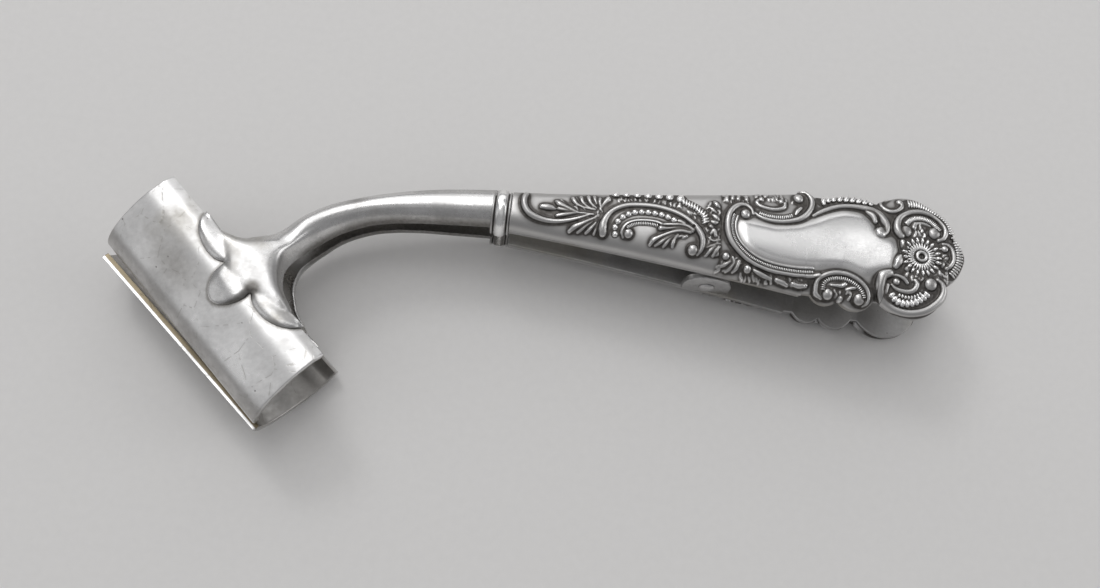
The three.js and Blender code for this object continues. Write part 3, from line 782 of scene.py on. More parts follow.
# Leaf lumps between the arch and the cartouche, and along the cartouche's front
LUMP_STROKES = (
    (28.7, 3.9, 0.2, 28.95, 3.5, 0.36, 29.3, 3.2, 0.2),
    (28.1, 2.9, 0.2, 28.5, 2.55, 0.3, 28.9, 2.2, 0.2),
    (28.6, 1.7, 0.3, 28.95, 1.4, 0.4, 29.2, 1.2, 0.3),
    (28.2, 0.8, 0.25, 28.7, 0.7, 0.36, 29.1, 0.8, 0.25),
    (27.9, 0.2, 0.2, 28.3, 0.1, 0.3, 28.6, -0.1, 0.2),
    (28.4, -0.9, 0.25, 28.75, -0.5, 0.36, 29.0, -1.1, 0.3),
    (28.1, -1.5, 0.14, 28.8, -1.88, 0.18, 29.6, -1.6, 0.14),
    (28.1, -3.75, 0.2, 28.5, -3.2, 0.3, 29.1, -2.6, 0.22),
    (28.9, -3.85, 0.2, 29.2, -3.2, 0.28, 29.6, -2.6, 0.2),
    (28.0, -2.9, 0.2, 28.6, -2.6, 0.22, 29.3, -2.2, 0.16),
    (30.2, -5.0, 0.2, 30.7, -4.75, 0.3, 31.3, -4.35, 0.24),
    (30.9, -5.5, 0.2, 31.4, -5.1, 0.3, 31.8, -4.5, 0.26, 31.6, -3.8, 0.2),
    (31.8, -5.5, 0.2, 32.2, -5.0, 0.32, 32.4, -4.3, 0.22),
    (34.6, -5.1, 0.22, 35.2, -5.35, 0.32, 36.0, -5.65, 0.32, 36.9, -5.95, 0.24),
    (37.7, -6.0, 0.26, 38.5, -6.2, 0.32, 39.2, -6.5, 0.22),
    (39.9, -6.3, 0.28, 40.8, -6.45, 0.32, 41.7, -6.3, 0.26),
    (30.5, 5.4, 0.22, 30.4, 4.9, 0.3, 30.45, 4.4, 0.26),
    (31.3, 5.4, 0.22, 31.2, 4.9, 0.3),
    (32.1, 5.5, 0.22, 31.95, 4.9, 0.3),
    (33.1, 5.5, 0.22, 33.1, 4.9, 0.28),
)

# The cartouche's border and the scrolls that close it
BORDER_STROKES = (
    (33.95, 2.75, 0.24, 33.75, 3.45, 0.26, 33.05, 3.98, 0.3, 32.2, 3.95, 0.34, 31.4, 3.4, 0.38,
     30.85, 2.5, 0.42, 30.6, 1.4, 0.46, 30.6, 0.2, 0.48, 30.9, -0.9, 0.46, 31.45, -1.9, 0.42,
     32.4, -2.9, 0.37, 33.5, -3.75, 0.33, 34.9, -4.4, 0.31, 36.5, -4.85, 0.3, 38.5, -5.08, 0.3,
     40.5, -5.15, 0.3, 42.2, -5.05, 0.3, 43.3, -4.85, 0.34),
    (34.2, 2.95, 0.2, 34.9, 2.5, 0.24, 35.8, 2.2, 0.26, 36.9, 2.08, 0.28, 38.1, 2.15, 0.3, 39.3, 2.42, 0.34,
     40.4, 2.85, 0.4, 41.3, 3.6, 0.42, 41.9, 4.6, 0.4, 42.1, 5.6, 0.38, 41.9, 6.5, 0.34, 41.4, 7.2, 0.3,
     40.7, 7.4, 0.24),
    (40.6, 4.6, 0.2, 40.1, 4.0, 0.28, 39.8, 3.4, 0.2),
    (34.7, 5.05, 0.24, 34.5, 4.6, 0.27, 34.9, 4.2, 0.26, 35.7, 3.95, 0.24, 36.7, 3.85, 0.24,
     37.6, 4.0, 0.25, 38.25, 4.4, 0.26, 38.4, 5.0, 0.24),
    (42.2, 3.6, 0.2, 42.9, 4.1, 0.28, 43.8, 4.65, 0.32, 44.9, 5.2, 0.34, 46.2, 5.62, 0.34, 47.6, 5.8, 0.36,
     49.0, 5.78, 0.42, 50.2, 5.55, 0.5, 51.2, 5.05, 0.56, 51.9, 4.3, 0.6, 52.3, 3.4, 0.54, 52.2, 2.5, 0.44,
     51.6, 1.85, 0.32),
    (49.6, 5.3, 0.3, 50.5, 4.7, 0.5, 50.8, 3.9, 0.36),
    (43.9, -7.7, 0.22, 43.2, -7.2, 0.26, 43.0, -6.4, 0.28, 43.1, -5.6, 0.3, 43.6, -5.0, 0.32,
     44.5, -4.5, 0.33, 45.6, -4.2, 0.33, 46.8, -4.2, 0.33, 47.9, -4.5, 0.33, 48.9, -5.05, 0.32,
     49.7, -5.8, 0.3, 50.1, -6.7, 0.28, 50.0, -7.6, 0.25, 49.4, -8.1, 0.2),
    (45.0, -5.95, 0.12, 45.8, -5.9, 0.2, 46.6, -5.8, 0.28, 46.9, -5.6, 0.25),
    (47.1, -6.3, 0.2, 47.7, -6.1, 0.24, 48.5, -5.9, 0.18),
)

# The scrolls round the flower
TERMINAL_STROKES = (
    (52.9, 7.9, 0.22, 52.15, 7.5, 0.28, 51.85, 6.8, 0.3, 52.2, 6.1, 0.3, 53.0, 5.75, 0.3, 53.9, 5.95, 0.3,
     54.55, 6.6, 0.32, 54.6, 7.3, 0.3),
    (54.3, 2.2, 0.5, 53.85, 2.9, 0.58, 53.8, 3.8, 0.52, 54.1, 4.7, 0.44, 54.8, 5.45, 0.38, 55.9, 6.0, 0.38,
     57.2, 6.2, 0.38, 58.5, 6.0, 0.38, 59.6, 5.4, 0.4, 60.35, 4.5, 0.42, 60.55, 3.5, 0.42, 60.2, 2.6, 0.36,
     59.5, 2.2, 0.3),
    (56.1, 3.7, 0.26, 56.3, 4.2, 0.18, 57.0, 4.5, 0.17, 57.8, 4.45, 0.16, 58.5, 4.2, 0.12),
    (60.1, 1.75, 0.24, 60.8, 1.65, 0.3, 61.35, 1.05, 0.32, 61.55, 0.2, 0.33, 61.5, -0.6, 0.32,
     61.1, -1.3, 0.3, 60.5, -1.7, 0.24),
    (52.8, -3.4, 0.5, 51.9, -3.9, 0.66, 51.6, -4.8, 0.7, 51.6, -5.7, 0.62, 52.0, -6.6, 0.5,
     52.9, -7.5, 0.42, 53.9, -8.1, 0.4, 55.3, -8.4, 0.42, 56.7, -8.25, 0.44, 58.0, -7.75, 0.46,
     59.1, -6.9, 0.46, 59.9, -5.95, 0.46, 60.2, -4.9, 0.44, 59.95, -4.0, 0.36, 59.3, -3.5, 0.28),
    (53.1, -4.9, 0.2, 53.6, -5.3, 0.24, 54.5, -5.6, 0.28, 55.5, -5.6, 0.32, 56.2, -5.2, 0.36,
     56.5, -4.5, 0.38, 56.3, -4.0, 0.3),
    (52.9, -3.7, 0.3, 53.8, -3.6, 0.3, 54.7, -3.9, 0.3, 55.2, -4.4, 0.25),
    (52.6, -5.0, 0.3, 52.4, -5.8, 0.36, 52.6, -6.5, 0.36, 53.2, -7.0, 0.3),
    (54.5, 1.3, 0.42, 54.7, 0.65, 0.54, 54.75, -0.1, 0.4),
    (53.6, -2.3, 0.4, 53.95, -1.6, 0.56, 54.3, -1.0, 0.52, 54.7, -0.6, 0.3),
)


# The bud in the shank's hooked scroll
BUD_STROKES = (
    (5.45, 0.45, 0.34, 6.1, 0.46, 0.44, 6.8, 0.42, 0.36, 7.3, 0.34, 0.2),
)

# The fine bead along the inside of the cartouche's border
BEAD_STROKES = (
    (31.95, 2.25, 0.12, 31.68, 1.3, 0.12, 31.68, 0.25, 0.12, 31.92, -0.6, 0.12, 32.35, -1.4, 0.12,
     33.1, -2.2, 0.12, 34.05, -2.9, 0.12, 35.25, -3.47, 0.12, 36.7, -3.87, 0.12, 38.55, -4.1, 0.12,
     40.45, -4.15, 0.12, 42.4, -4.0, 0.12),
)

# Balls at the scrolls' ends: x, y and radius
BALLS = (
    (13.95, -2.15, 0.62), (26.15, -3.4, 0.75), (17.35, -2.1, 0.68), (30.65, -3.75, 0.55),
    (33.7, -5.05, 0.57), (32.9, 2.55, 0.73), (40.25, 6.0, 0.73), (35.15, 5.3, 0.40),
    (37.85, 5.25, 0.40), (51.55, 2.35, 0.86), (44.6, -7.15, 0.75), (48.85, -7.4, 0.79),
    (46.4, -7.5, 0.44), (54.35, 7.35, 0.46), (54.95, 2.95, 0.88), (58.95, 3.15, 0.90),
    (60.35, 1.05, 0.53), (59.85, -1.2, 0.55), (58.4, -4.25, 0.92), (53.7, -4.45, 0.55),
    (55.2, -2.4, 0.48), (57.1, -0.45, 0.24),
)

# Small holes: x, y, radius and depth
HOLES = ((26.0, -0.2, 0.17, 0.35), (57.1, -0.45, 0.42, 0.16))

# Patches of fine leaf veins: x, y, half length, half width, direction in degrees and count
VEINS = (
    (11.6, 1.55, 1.8, 0.95, -35.0, 34), (11.9, -1.25, 1.3, 0.8, 35.0, 18), (13.2, 0.3, 0.5, 1.1, 80.0, 14),
    (19.6, 3.0, 4.6, 0.42, 95.0, 46), (26.3, 1.9, 1.3, 1.0, 130.0, 22), (27.7, 0.9, 0.7, 1.3, 110.0, 18),
    (28.6, 0.3, 0.85, 3.6, 70.0, 60), (28.6, -3.0, 0.9, 0.8, 40.0, 14), (31.3, -4.6, 1.5, 0.8, 60.0, 26),
    (37.6, -5.9, 4.6, 0.45, 110.0, 52), (31.8, 5.0, 1.8, 0.55, 90.0, 26), (23.6, -1.3, 1.7, 0.9, 30.0, 16),
    (46.6, -7.0, 1.6, 0.5, 90.0, 14), (56.6, -3.5, 1.5, 0.55, 60.0, 16), (60.3, -0.4, 0.5, 1.4, 10.0, 12),
    (56.8, 3.4, 0.8, 0.9, 90.0, 12), (60.2, -3.0, 0.7, 0.8, -40.0, 12), (37.3, 5.9, 3.0, 0.5, 90.0, 22),
)

# Outline of the polished panel inside the cartouche
PANEL_OUTLINE = (
    (32.6, 1.6), (32.3, 0.0), (32.9, -1.6), (34.2, -2.7), (36.5, -3.5), (39.5, -3.8), (42.6, -3.7),
    (44.6, -3.3), (46.8, -3.2), (49.3, -4.0), (50.6, -3.6), (52.0, -3.2), (53.2, -2.8), (53.6, -1.2),
    (53.7, 0.2), (53.2, 1.4), (51.9, 1.7), (50.9, 2.4), (50.2, 3.8), (49.2, 4.6), (46.6, 4.7),
    (44.6, 4.0), (42.6, 2.8), (40.2, 1.7), (37.2, 1.1), (34.8, 1.4),
)

# The flower's centre, and the raised ring in it: its radius and the radius of its rib
FLOWER_CENTRE = (57.1, -0.45)
FLOWER_RING = (0.62, 0.28)


@dataclass(frozen=True)
class StudRow:
    """A row of equal studs along a path on the handle.

    Attributes:
        path: Places along and across the handle.
        count: Number of studs.
        half_length: Half the length of a stud.
        half_width: Half its width.
        height: Its height over the ground.
        lean: Angle of the studs from the path, in degrees.
    """

    path: tuple
    count: int
    half_length: float
    half_width: float
    height: float
    lean: float = 90.0


PEARL_ROWS = (
    StudRow(((15.6, -2.35), (15.5, -1.4), (15.9, -0.45), (16.7, 0.32), (17.6, 0.8), (18.6, 1.05),
             (19.6, 1.12), (20.6, 1.1), (21.6, 0.98), (22.5, 0.74), (23.3, 0.4)), 12, 0.45, 0.45, 0.42),
)

RIB_ROWS = (
    StudRow(((31.4, 2.3), (31.18, 1.35), (31.18, 0.22), (31.42, -0.75), (31.92, -1.65), (32.75, -2.55),
             (33.8, -3.32), (35.1, -3.92), (36.6, -4.35), (38.5, -4.58), (40.5, -4.65), (42.4, -4.5)),
            66, 0.3, 0.09, 0.2),
    StudRow(((34.9, 3.0), (36.0, 2.75), (37.2, 2.7), (38.4, 2.85), (39.3, 3.2)), 17, 0.4, 0.11, 0.24),
    StudRow(((43.95, -6.6), (44.0, -5.85), (44.6, -5.25), (45.6, -4.95), (46.7, -4.9), (47.7, -5.2),
             (48.6, -5.75), (49.25, -6.5), (49.4, -7.1)), 28, 0.36, 0.11, 0.26),
    StudRow(((17.2, -1.35), (17.6, -0.95), (18.3, -0.65), (19.2, -0.5), (20.2, -0.48), (21.1, -0.6)),
            19, 0.32, 0.09, 0.2),
    StudRow(((55.1, 4.1), (55.65, 4.75), (56.5, 5.15), (57.5, 5.25), (58.5, 4.95), (59.2, 4.4), (59.65, 3.7)),
            26, 0.46, 0.11, 0.28),
)

FRINGE_ROWS = (
    StudRow(((15.3, 3.75), (17.5, 3.95), (20.0, 4.05), (22.5, 4.1), (24.1, 3.95)), 7, 0.82, 0.54, 0.45, 80.0),
    StudRow(((24.5, 3.5), (25.6, 2.95), (26.6, 2.3), (27.4, 1.5), (27.6, 0.6)), 12, 0.62, 0.19, 0.34, 110.0),
    StudRow(((43.8, 6.3), (44.8, 6.85), (46.0, 7.05), (47.4, 7.15), (49.0, 7.1), (50.6, 6.9)),
            9, 0.95, 0.36, 0.42, 55.0),
    StudRow(((55.6, 7.35), (57.0, 7.4), (58.4, 7.0), (59.7, 6.2), (60.6, 5.3), (61.2, 4.4), (61.5, 3.6)),
            22, 0.7, 0.16, 0.36),
    StudRow(((61.7, 3.0), (62.1, 2.2), (62.35, 1.3), (62.4, 0.3), (62.3, -0.7), (61.9, -1.7), (61.4, -2.5)),
            16, 0.6, 0.16, 0.32),
    StudRow(((53.2, -6.3), (53.8, -6.95), (54.7, -7.25), (55.6, -7.2), (56.5, -6.85), (57.3, -6.3),
             (57.9, -5.7)), 10, 0.6, 0.36, 0.45),
    StudRow(((54.2, -6.2), (55.2, -6.4), (56.2, -6.2), (57.0, -5.7)), 8, 0.3, 0.18, 0.28),
)

# Rings of petals and stamens: radius, count, half length, half width and height
FLOWER_RINGS = ((1.5, 30, 0.66, 0.14, 0.28), (2.4, 22, 0.48, 0.23, 0.34))


def flower_rows() -> tuple:
    """Rows of the flower's petals, one for each ring, which point away from its centre."""
    return tuple(
        StudRow(tuple(circle(FLOWER_CENTRE, radius, 25)), *sizes) for radius, *sizes in FLOWER_RINGS
    )


@dataclass
class ReliefMap:
    """Height of the struck ornament over its ground, on a fine grid of x and y.

    Attributes:
        panel_clear: How much of the dark between close ornament it loses.
        crowd_reach: Blur that tells where the ornament lies close.
        crowd_weight: How much darker the ground between it is made: partly patina, partly painted shade.
        strip_shade: How much painted shade darkens the ground under rows of studs.
        height: Heights of the cells.
        rise: From 0 in the hollows to 1 on the crests; painted shade between close ornament and under rows of
            studs lowers it.
    """

    cell: float = 0.04
    low: tuple = (0.0, -10.0)
    high: tuple = (65.0, 10.0)
    soft: float = 0.05
    hollow_reach: float = 0.42
    hollow_depth: float = 0.2
    swell: float = 1.15
    panel_soft: float = 0.7
    panel_rise: float = 0.34
    panel_light: float = 0.35
    panel_clear: float = 0.7
    crowd_reach: float = 1.1
    crowd_weight: float = 2.4
    crowd_most: float = 0.34
    strip_shade: float = 0.75
    strip_swell: float = 1.15
    vein_seed: int = 11
    vein_fan: float = 28.0
    vein_bend: float = 0.12
    vein_half: tuple = (0.22, 0.4)
    vein_radius: tuple = (0.1, 0.17)
    vein_rise: float = 1.3
    x: Points = field(init=False)
    y: Points = field(init=False)
    height: Points = field(init=False)
    rise: Points = field(init=False)

    def __post_init__(self) -> None:
        """Stamps every stroke, vein, ball and hole."""
        columns, rows = (int((high - low) / self.cell) for low, high in zip(self.low, self.high))
        self.x = self.low[0] + (np.arange(columns) + 0.5) * self.cell
        self.y = self.low[1] + (np.arange(rows) + 0.5) * self.cell
        self.height = np.zeros((rows, columns))
        shade_strips = np.zeros((rows, columns))
        ring = circle(FLOWER_CENTRE, FLOWER_RING[0], 17)
        for strokes, rise in (
            (SHANK_STROKES + ARCH_STROKES + LUMP_STROKES + BORDER_STROKES + TERMINAL_STROKES, STROKE_RISE),
            (BUD_STROKES, BUD_RISE),
            (BEAD_STROKES, BEAD_RISE),
            (self.veins(), self.vein_rise),
            ([np.insert(ring, 2, FLOWER_RING[1], axis=1)], RING_RISE),
        ):
            for stroke in strokes:
                self.stroke(stroke, rise)
        # Painted shade is stamped under the rows of studs.
        for row in PEARL_ROWS + RIB_ROWS + FRINGE_ROWS + flower_rows():
            wide = max(row.half_length, row.half_width) * self.strip_swell
            for x, y in spline(row.path, 4 * max(row.count, 8)):
                self.stamp(shade_strips, x, y, wide, 1.0, 0.4)
        for x, y, radius in BALLS:
            self.stamp(self.height, x, y, radius, BALL_RISE * min(radius, BALL_LEVEL), 0.5)
        for x, y, radius, depth in HOLES:
            part, cap = self.cap(x, y, radius, 0.6)
            self.height[part] -= depth * cap
        self.height = self.blurred(self.height, self.soft)
        wide = self.blurred(self.height, self.hollow_reach)
        pillow = self.blurred(self.inside(PANEL_OUTLINE), self.panel_soft)
        # The ground between close ornament is darkened, partly as patina and partly as painted shade.
        crowd = self.blurred(self.height, self.crowd_reach) * self.crowd_weight
        dark = np.minimum(crowd, self.crowd_most) * (1.0 - self.panel_clear * pillow)
        dark += self.strip_shade * self.blurred(shade_strips, self.soft)
        over = (self.height - wide) / self.hollow_depth
        self.rise = np.clip(0.5 + over + self.panel_light * pillow - dark, 0.0, 1.0)
        self.height += self.panel_rise * pillow

    def inside(self, outline: tuple) -> Points:
        """Fills an outline on the grid.

        Args:
            outline: Its corners.

        Returns:
            Cells that are 1 inside it and 0 outside.
        """
        corners = np.array(outline)
        crossings = np.zeros(self.height.shape)
        for (x0, y0), (x1, y1) in zip(corners, np.roll(corners, -1, axis=0)):
            rows = (y0 > self.y) != (y1 > self.y)
            edge = x0 + (self.y[rows] - y0) * (x1 - x0) / (y1 - y0)
            crossings[rows] += self.x > edge[:, None]
        return crossings % 2

    def cap(self, x: float, y: float, radius: float, power: float) -> tuple:
        """A round cap of height 1 on the cells near a place.

        Args:
            x: Place along the handle.
            y: Place across it.
            radius: Radius of the cap.
            power: Fullness of its profile; 0.5 is a ball.

        Returns:
            The slices of the grid and the heights of their cells.
        """
        reach = int(radius / self.cell) + 2
        column, row = int((x - self.low[0]) / self.cell), int((y - self.low[1]) / self.cell)
        rows = slice(max(row - reach, 0), row + reach + 1)
        columns = slice(max(column - reach, 0), column + reach + 1)
        squares = (self.y[rows, None] - y) ** 2 + (self.x[columns] - x) ** 2
        return (rows, columns), np.clip(1 - squares / radius**2, 0, None) ** power

    def stamp(self, layer: Points, x: float, y: float, radius: float, top: float, power: float = 0.6) -> None:
        """Raises a round boss on a layer.

        Args:
            layer: The layer.
            x: Place along the handle.
            y: Place across it.
            radius: Radius of the boss.
            top: Its height.
            power: Fullness of its profile; 0.5 is a ball.
        """
        part, cap = self.cap(x, y, radius, power)
        layer[part] = np.maximum(layer[part], top * cap)

    def stroke(self, points: Points, rise: float) -> None:
        """Raises a rounded rib.

        Args:
            points: x, y and radius of each of its points.
            rise: Height of the rib as a share of its radius.
        """
        rough = np.reshape(points, (-1, 3))
        count = max(int(run_of(rough[:, :2])[-1] / self.cell), 4)
        for x, y, radius in spline(rough, count):
            wide = max(radius, 2 * self.cell)
            self.stamp(self.height, x, y, wide * self.swell, wide * rise)

    def veins(self) -> list:
        """Short strokes that lie loosely in one direction on each patch of fine leaf work.

        Returns:
            x, y and radius of the points of each vein.
        """
        chance = np.random.default_rng(self.vein_seed)
        strokes = []
        for x, y, half_length, half_width, direction, count in VEINS:
            for _ in range(count):
                spot = np.array([x, y]) + chance.uniform(-1, 1, 2) * (half_length, half_width)
                angle = math.radians(direction + chance.uniform(-self.vein_fan, self.vein_fan))
                bend = chance.uniform(-self.vein_bend, self.vein_bend) * 4
                way = np.array([math.cos(angle), math.sin(angle)]) * chance.uniform(*self.vein_half)
                radius = chance.uniform(*self.vein_radius)
                middle = spot + left_of(way) * bend
                strokes.append([*(spot - way), radius * 0.8, *middle, radius, *(spot + way), radius * 0.6])
        return strokes

    def blurred(self, grid: Points, reach: float) -> Points:
        """Blurs a grid with three box filters along each axis.

        Args:
            grid: The grid.
            reach: Reach of the blur in millimetres.

        Returns:
            The blurred grid.
        """
        half = max(int(round(reach / self.cell / 2)), 1)
        width = 2 * half + 1
        for _ in range(6):
            sums = np.cumsum(np.pad(grid, ((half + 1, half), (0, 0)), mode="edge"), axis=0)
            grid = ((sums[width:] - sums[:-width]) / width).T
        return grid

    def at(self, layer: Points, x: Points, y: Points) -> Points:
        """Reads a layer between its cells.

        Args:
            layer: Heights or rises.
            x: Places along the handle.
            y: Places across it.

        Returns:
            Values of the layer.
        """
        rows, columns = layer.shape
        column = np.clip((x - self.low[0]) / self.cell - 0.5, 0, columns - 1.001)
        row = np.clip((y - self.low[1]) / self.cell - 0.5, 0, rows - 1.001)
        c, r = column.astype(int), row.astype(int)
        u, v = column - c, row - r
        lower = layer[r, c] * (1 - u) + layer[r, c + 1] * u
        upper = layer[r + 1, c] * (1 - u) + layer[r + 1, c + 1] * u
        return lower * (1 - v) + upper * v


# Handle


@dataclass(frozen=True)
class HandleForm:
    """Plain form of a handle shell, without its ornament.

    Attributes:
        splay: Angle of the plate from the middle plane, in degrees.
        crown: Height of the panel's top over the middle plane.
        full: Exponent that makes the section boxier than an ellipse.
        sink: How far the ground lies under the tops of the ornament.
        front_lobes: Place along, centre and radius of the front lobes.
        back_lobes: The same for the back lobes.
        sag: How far the taper's edge is hollowed.
        last: Share of the length at which the shell closes.
    """

    length: float = 63.2
    start: float = 1.35
    throat: float = 2.8
    panel: float = 7.45
    throat_flat: float = 1.95
    splay: float = 2.3
    throat_height: float = 3.05
    crown: float = 6.95
    end_height: float = 2.3
    plate: float = 0.7
    gap: float = 0.05
    full: float = 0.86
    sink: float = 0.58
    front_lobes: tuple = ((0.706, 0.832, 0.289), (0.77, 0.805, 0.362), (0.885, 0.564, 0.644))
    back_lobes: tuple = (
        (0.654, 0.82, 0.22),
        (0.755, -0.03, 1.063),
        (0.878, 0.44, 0.7),
        (0.9066, 0.389, 0.617),
    )
    end_lobe: float = 0.617
    waist: float = 0.955
    lobe_start: float = 0.655
    waist_end: float = 0.9
    sag: float = 0.12
    last: float = 0.9985
    rise_end: float = 0.5
    round_start: float = 0.88
    sink_run: float = 7.0
    widest: float = 0.985

    def taper(self, x: Points) -> Points:
        """Half width of the tapered part.

        Args:
            x: Places along the handle.

        Returns:
            Half widths.
        """
        end = self.length * self.lobe_start
        share = np.clip((x - self.start) / (end - self.start), 0, 1)
        middle = (self.throat + self.panel) / 2 * (1 - self.sag)
        back = 1 - share
        return self.throat * back**2 + 2 * middle * back * share + self.panel * share**2

    @staticmethod
    def lobe(x: Points, along: float, out: float, radius: float) -> Points:
        """Half width that one round lobe gives."""
        inside = radius**2 - (x - along) ** 2
        return np.where(inside > 0, out + np.sqrt(np.maximum(inside, 0)), 0)

    def reach(self, x: Points, front: bool) -> Points:
        """Half width of the handle to one side.

        Args:
            x: Places along the handle.
            front: Whether the side is the jaw's.

        Returns:
            Half widths.
        """
        radius = self.panel * self.end_lobe
        widest = self.lobe(x, self.length - radius, 0.0, radius)
        for along, out, size in self.front_lobes if front else self.back_lobes:
            lobe = self.lobe(x, along * self.length, out * self.panel, size * self.panel)
            widest = np.maximum(widest, lobe)
        level = np.where(x < self.length * self.waist_end, self.panel * self.waist, 0)
        body = np.where(x <= self.length * self.lobe_start, self.taper(x), level)
        return np.maximum(widest, body)

    def plate_level(self, x: Points) -> Points:
        """Height of the plate's inner face."""
        return self.throat_flat + x * math.tan(math.radians(self.splay))

    def seat(self, x: Points) -> Points:
        """Height of the shell's edge."""
        return self.plate_level(x) + self.plate + self.gap

    def crown_level(self, x: Points) -> Points:
        """Height of the ground's top line.

        Args:
            x: Places along the handle.

        Returns:
            Heights.
        """
        start = self.plate_level(0) + self.throat_height
        rise = np.clip(x / (self.length * self.rise_end), 0, 1)
        level = start + (self.crown - start) * np.sin(math.pi / 2 * rise)
        round_start = self.length * self.round_start
        past = np.clip((x - round_start) / (self.length - round_start), 0, 1)
        drop = self.crown - self.plate_level(self.length) - self.end_height
        sunk = self.sink * eased(x, self.start, self.start + self.sink_run)
        return level - drop * (1 - np.sqrt(1 - past**2)) - sunk

    def ground(self, x: Points, y: Points) -> Points:
        """Height of the ground inside the outline.

        Args:
            x: Places along the handle.
            y: Places across it.

        Returns:
            Heights.
        """
        reach = np.where(y < 0, self.reach(x, True), self.reach(x, False))
        share = np.clip(np.abs(y) / reach, 0, self.widest)
        lift = (1 - share ** (2 / self.full)) ** (self.full / 2)
        return self.seat(x) + (self.crown_level(x) - self.seat(x)) * lift

    def slope(self, places: Points) -> Points:
        """How steeply the ground rises.

        Args:
            places: Places along and across the handle.

        Returns:
            Slopes along and across it.
        """
        x, y = places.T
        along = self.ground(x + SLOPE_STEP, y) - self.ground(x - SLOPE_STEP, y)
        across = self.ground(x, y + SLOPE_STEP) - self.ground(x, y - SLOPE_STEP)
        return np.stack([along, across], axis=1) / (2 * SLOPE_STEP)

    def sections(self, x: Points, count: int) -> Points:
        """Sections of the ground from the back edge over the top to the front edge.

        Args:
            x: Places along the handle.
            count: Points on each section, evenly spaced.

        Returns:
            Places with the axes section, point and coordinate.
        """
        angles = np.linspace(0.0, math.pi, 361)
        cosine, sine = np.cos(angles), np.abs(np.sin(angles))
        side = np.sign(cosine) * np.abs(cosine) ** self.full
        lift = sine**self.full
        back, front = self.reach(x, False), self.reach(x, True)
        seat, top = self.seat(x), self.crown_level(x)
        loops = np.zeros((len(x), count, 3))
        for i, here in enumerate(x):
            y = side * (back[i] if back[i] == front[i] else np.where(side > 0, back[i], front[i]))
            z = seat[i] + (top[i] - seat[i]) * lift
            run = run_of(np.column_stack([y, z]))
            wanted = np.linspace(0, run[-1], count)
            loops[i, :, 0] = here
            loops[i, :, 1] = np.interp(wanted, run, y)
            loops[i, :, 2] = np.interp(wanted, run, z)
        return loops


@dataclass
class Handle:
    """Struck handle shell with its ornament, and the plate that closes it.

    Attributes:
        split: Place at which the shell's mesh is parted in two.
    """

    form: HandleForm
    relief: ReliefMap
    split: float = 29.75
    step: float = 0.085
    shank_points: int = 176
    panel_points: int = 244
    stud_seat: float = 0.22
    plate_edge: float = 0.12

    def shell(self, start: float, end: float, count: int) -> Shape:
        """Part of the struck shell between two places along the handle.

        Args:
            start: First place.
            end: Last place.
            count: Points across each section.

        Returns:
            A closed body that carries the rise of its relief.
        """
        stations = np.linspace(start, end, int((end - start) / self.step))
        ground = self.form.sections(stations, count)
        normal = unit(np.cross(np.gradient(ground, axis=1), np.gradient(ground, axis=0)))
        normal[normal[:, count // 2, 2] < 0] *= -1
        x, y = ground[..., 0], ground[..., 1]
        height, rise = (self.relief.at(layer, x, y) for layer in (self.relief.height, self.relief.rise))
        return Shape.skin(ground + normal * height[..., None], rise=rise)

    def back_plate(self) -> Shape:
        """The flat plate that closes the shell, with rounded edges.

        Returns:
            A closed body.
        """
        form = self.form
        x = form.start + (form.length * form.last - form.start) * np.linspace(0, 1, 260)
        back = np.column_stack([x, form.reach(x, False)])
        front = np.column_stack([x, -form.reach(x, True)])
        outline = np.vstack([back, front[::-1]])
        loops = rounded_plate(outline, 0.0, form.plate, self.plate_edge)
        loops[..., 2] += form.plate_level(loops[..., 0])
        return Shape.skin(loops)

    def rows_guide(self, rows: tuple) -> dict:
        """Places, directions and sizes of all studs of some rows, in the handle's frame.

        Args:
            rows: The rows.

        Returns:
            Arrays of the places, normals, ways and sizes.
        """
        guides = {"place": [], "lift": [], "way": [], "size": []}
        for row in rows:
            path = spline(row.path, row.count)
            lean = turned(unit(np.gradient(path, axis=0)), math.radians(row.lean))
            slope = self.form.slope(path)
            lift = unit(np.column_stack([-slope, np.ones(row.count)]))
            x, y = path.T
            under = np.minimum(self.relief.at(self.relief.height, x, y), self.stud_seat)
            place = np.column_stack([path, self.form.ground(x, y)]) + lift * under[:, None]
            size = np.tile([row.half_length, row.half_width, row.height], (row.count, 1))
            way = np.column_stack([lean, (lean * slope).sum(axis=1)])
            for key, values in zip(guides, (place, lift, way, size)):
                guides[key].append(values)
        return {key: np.vstack(values) for key, values in guides.items()}


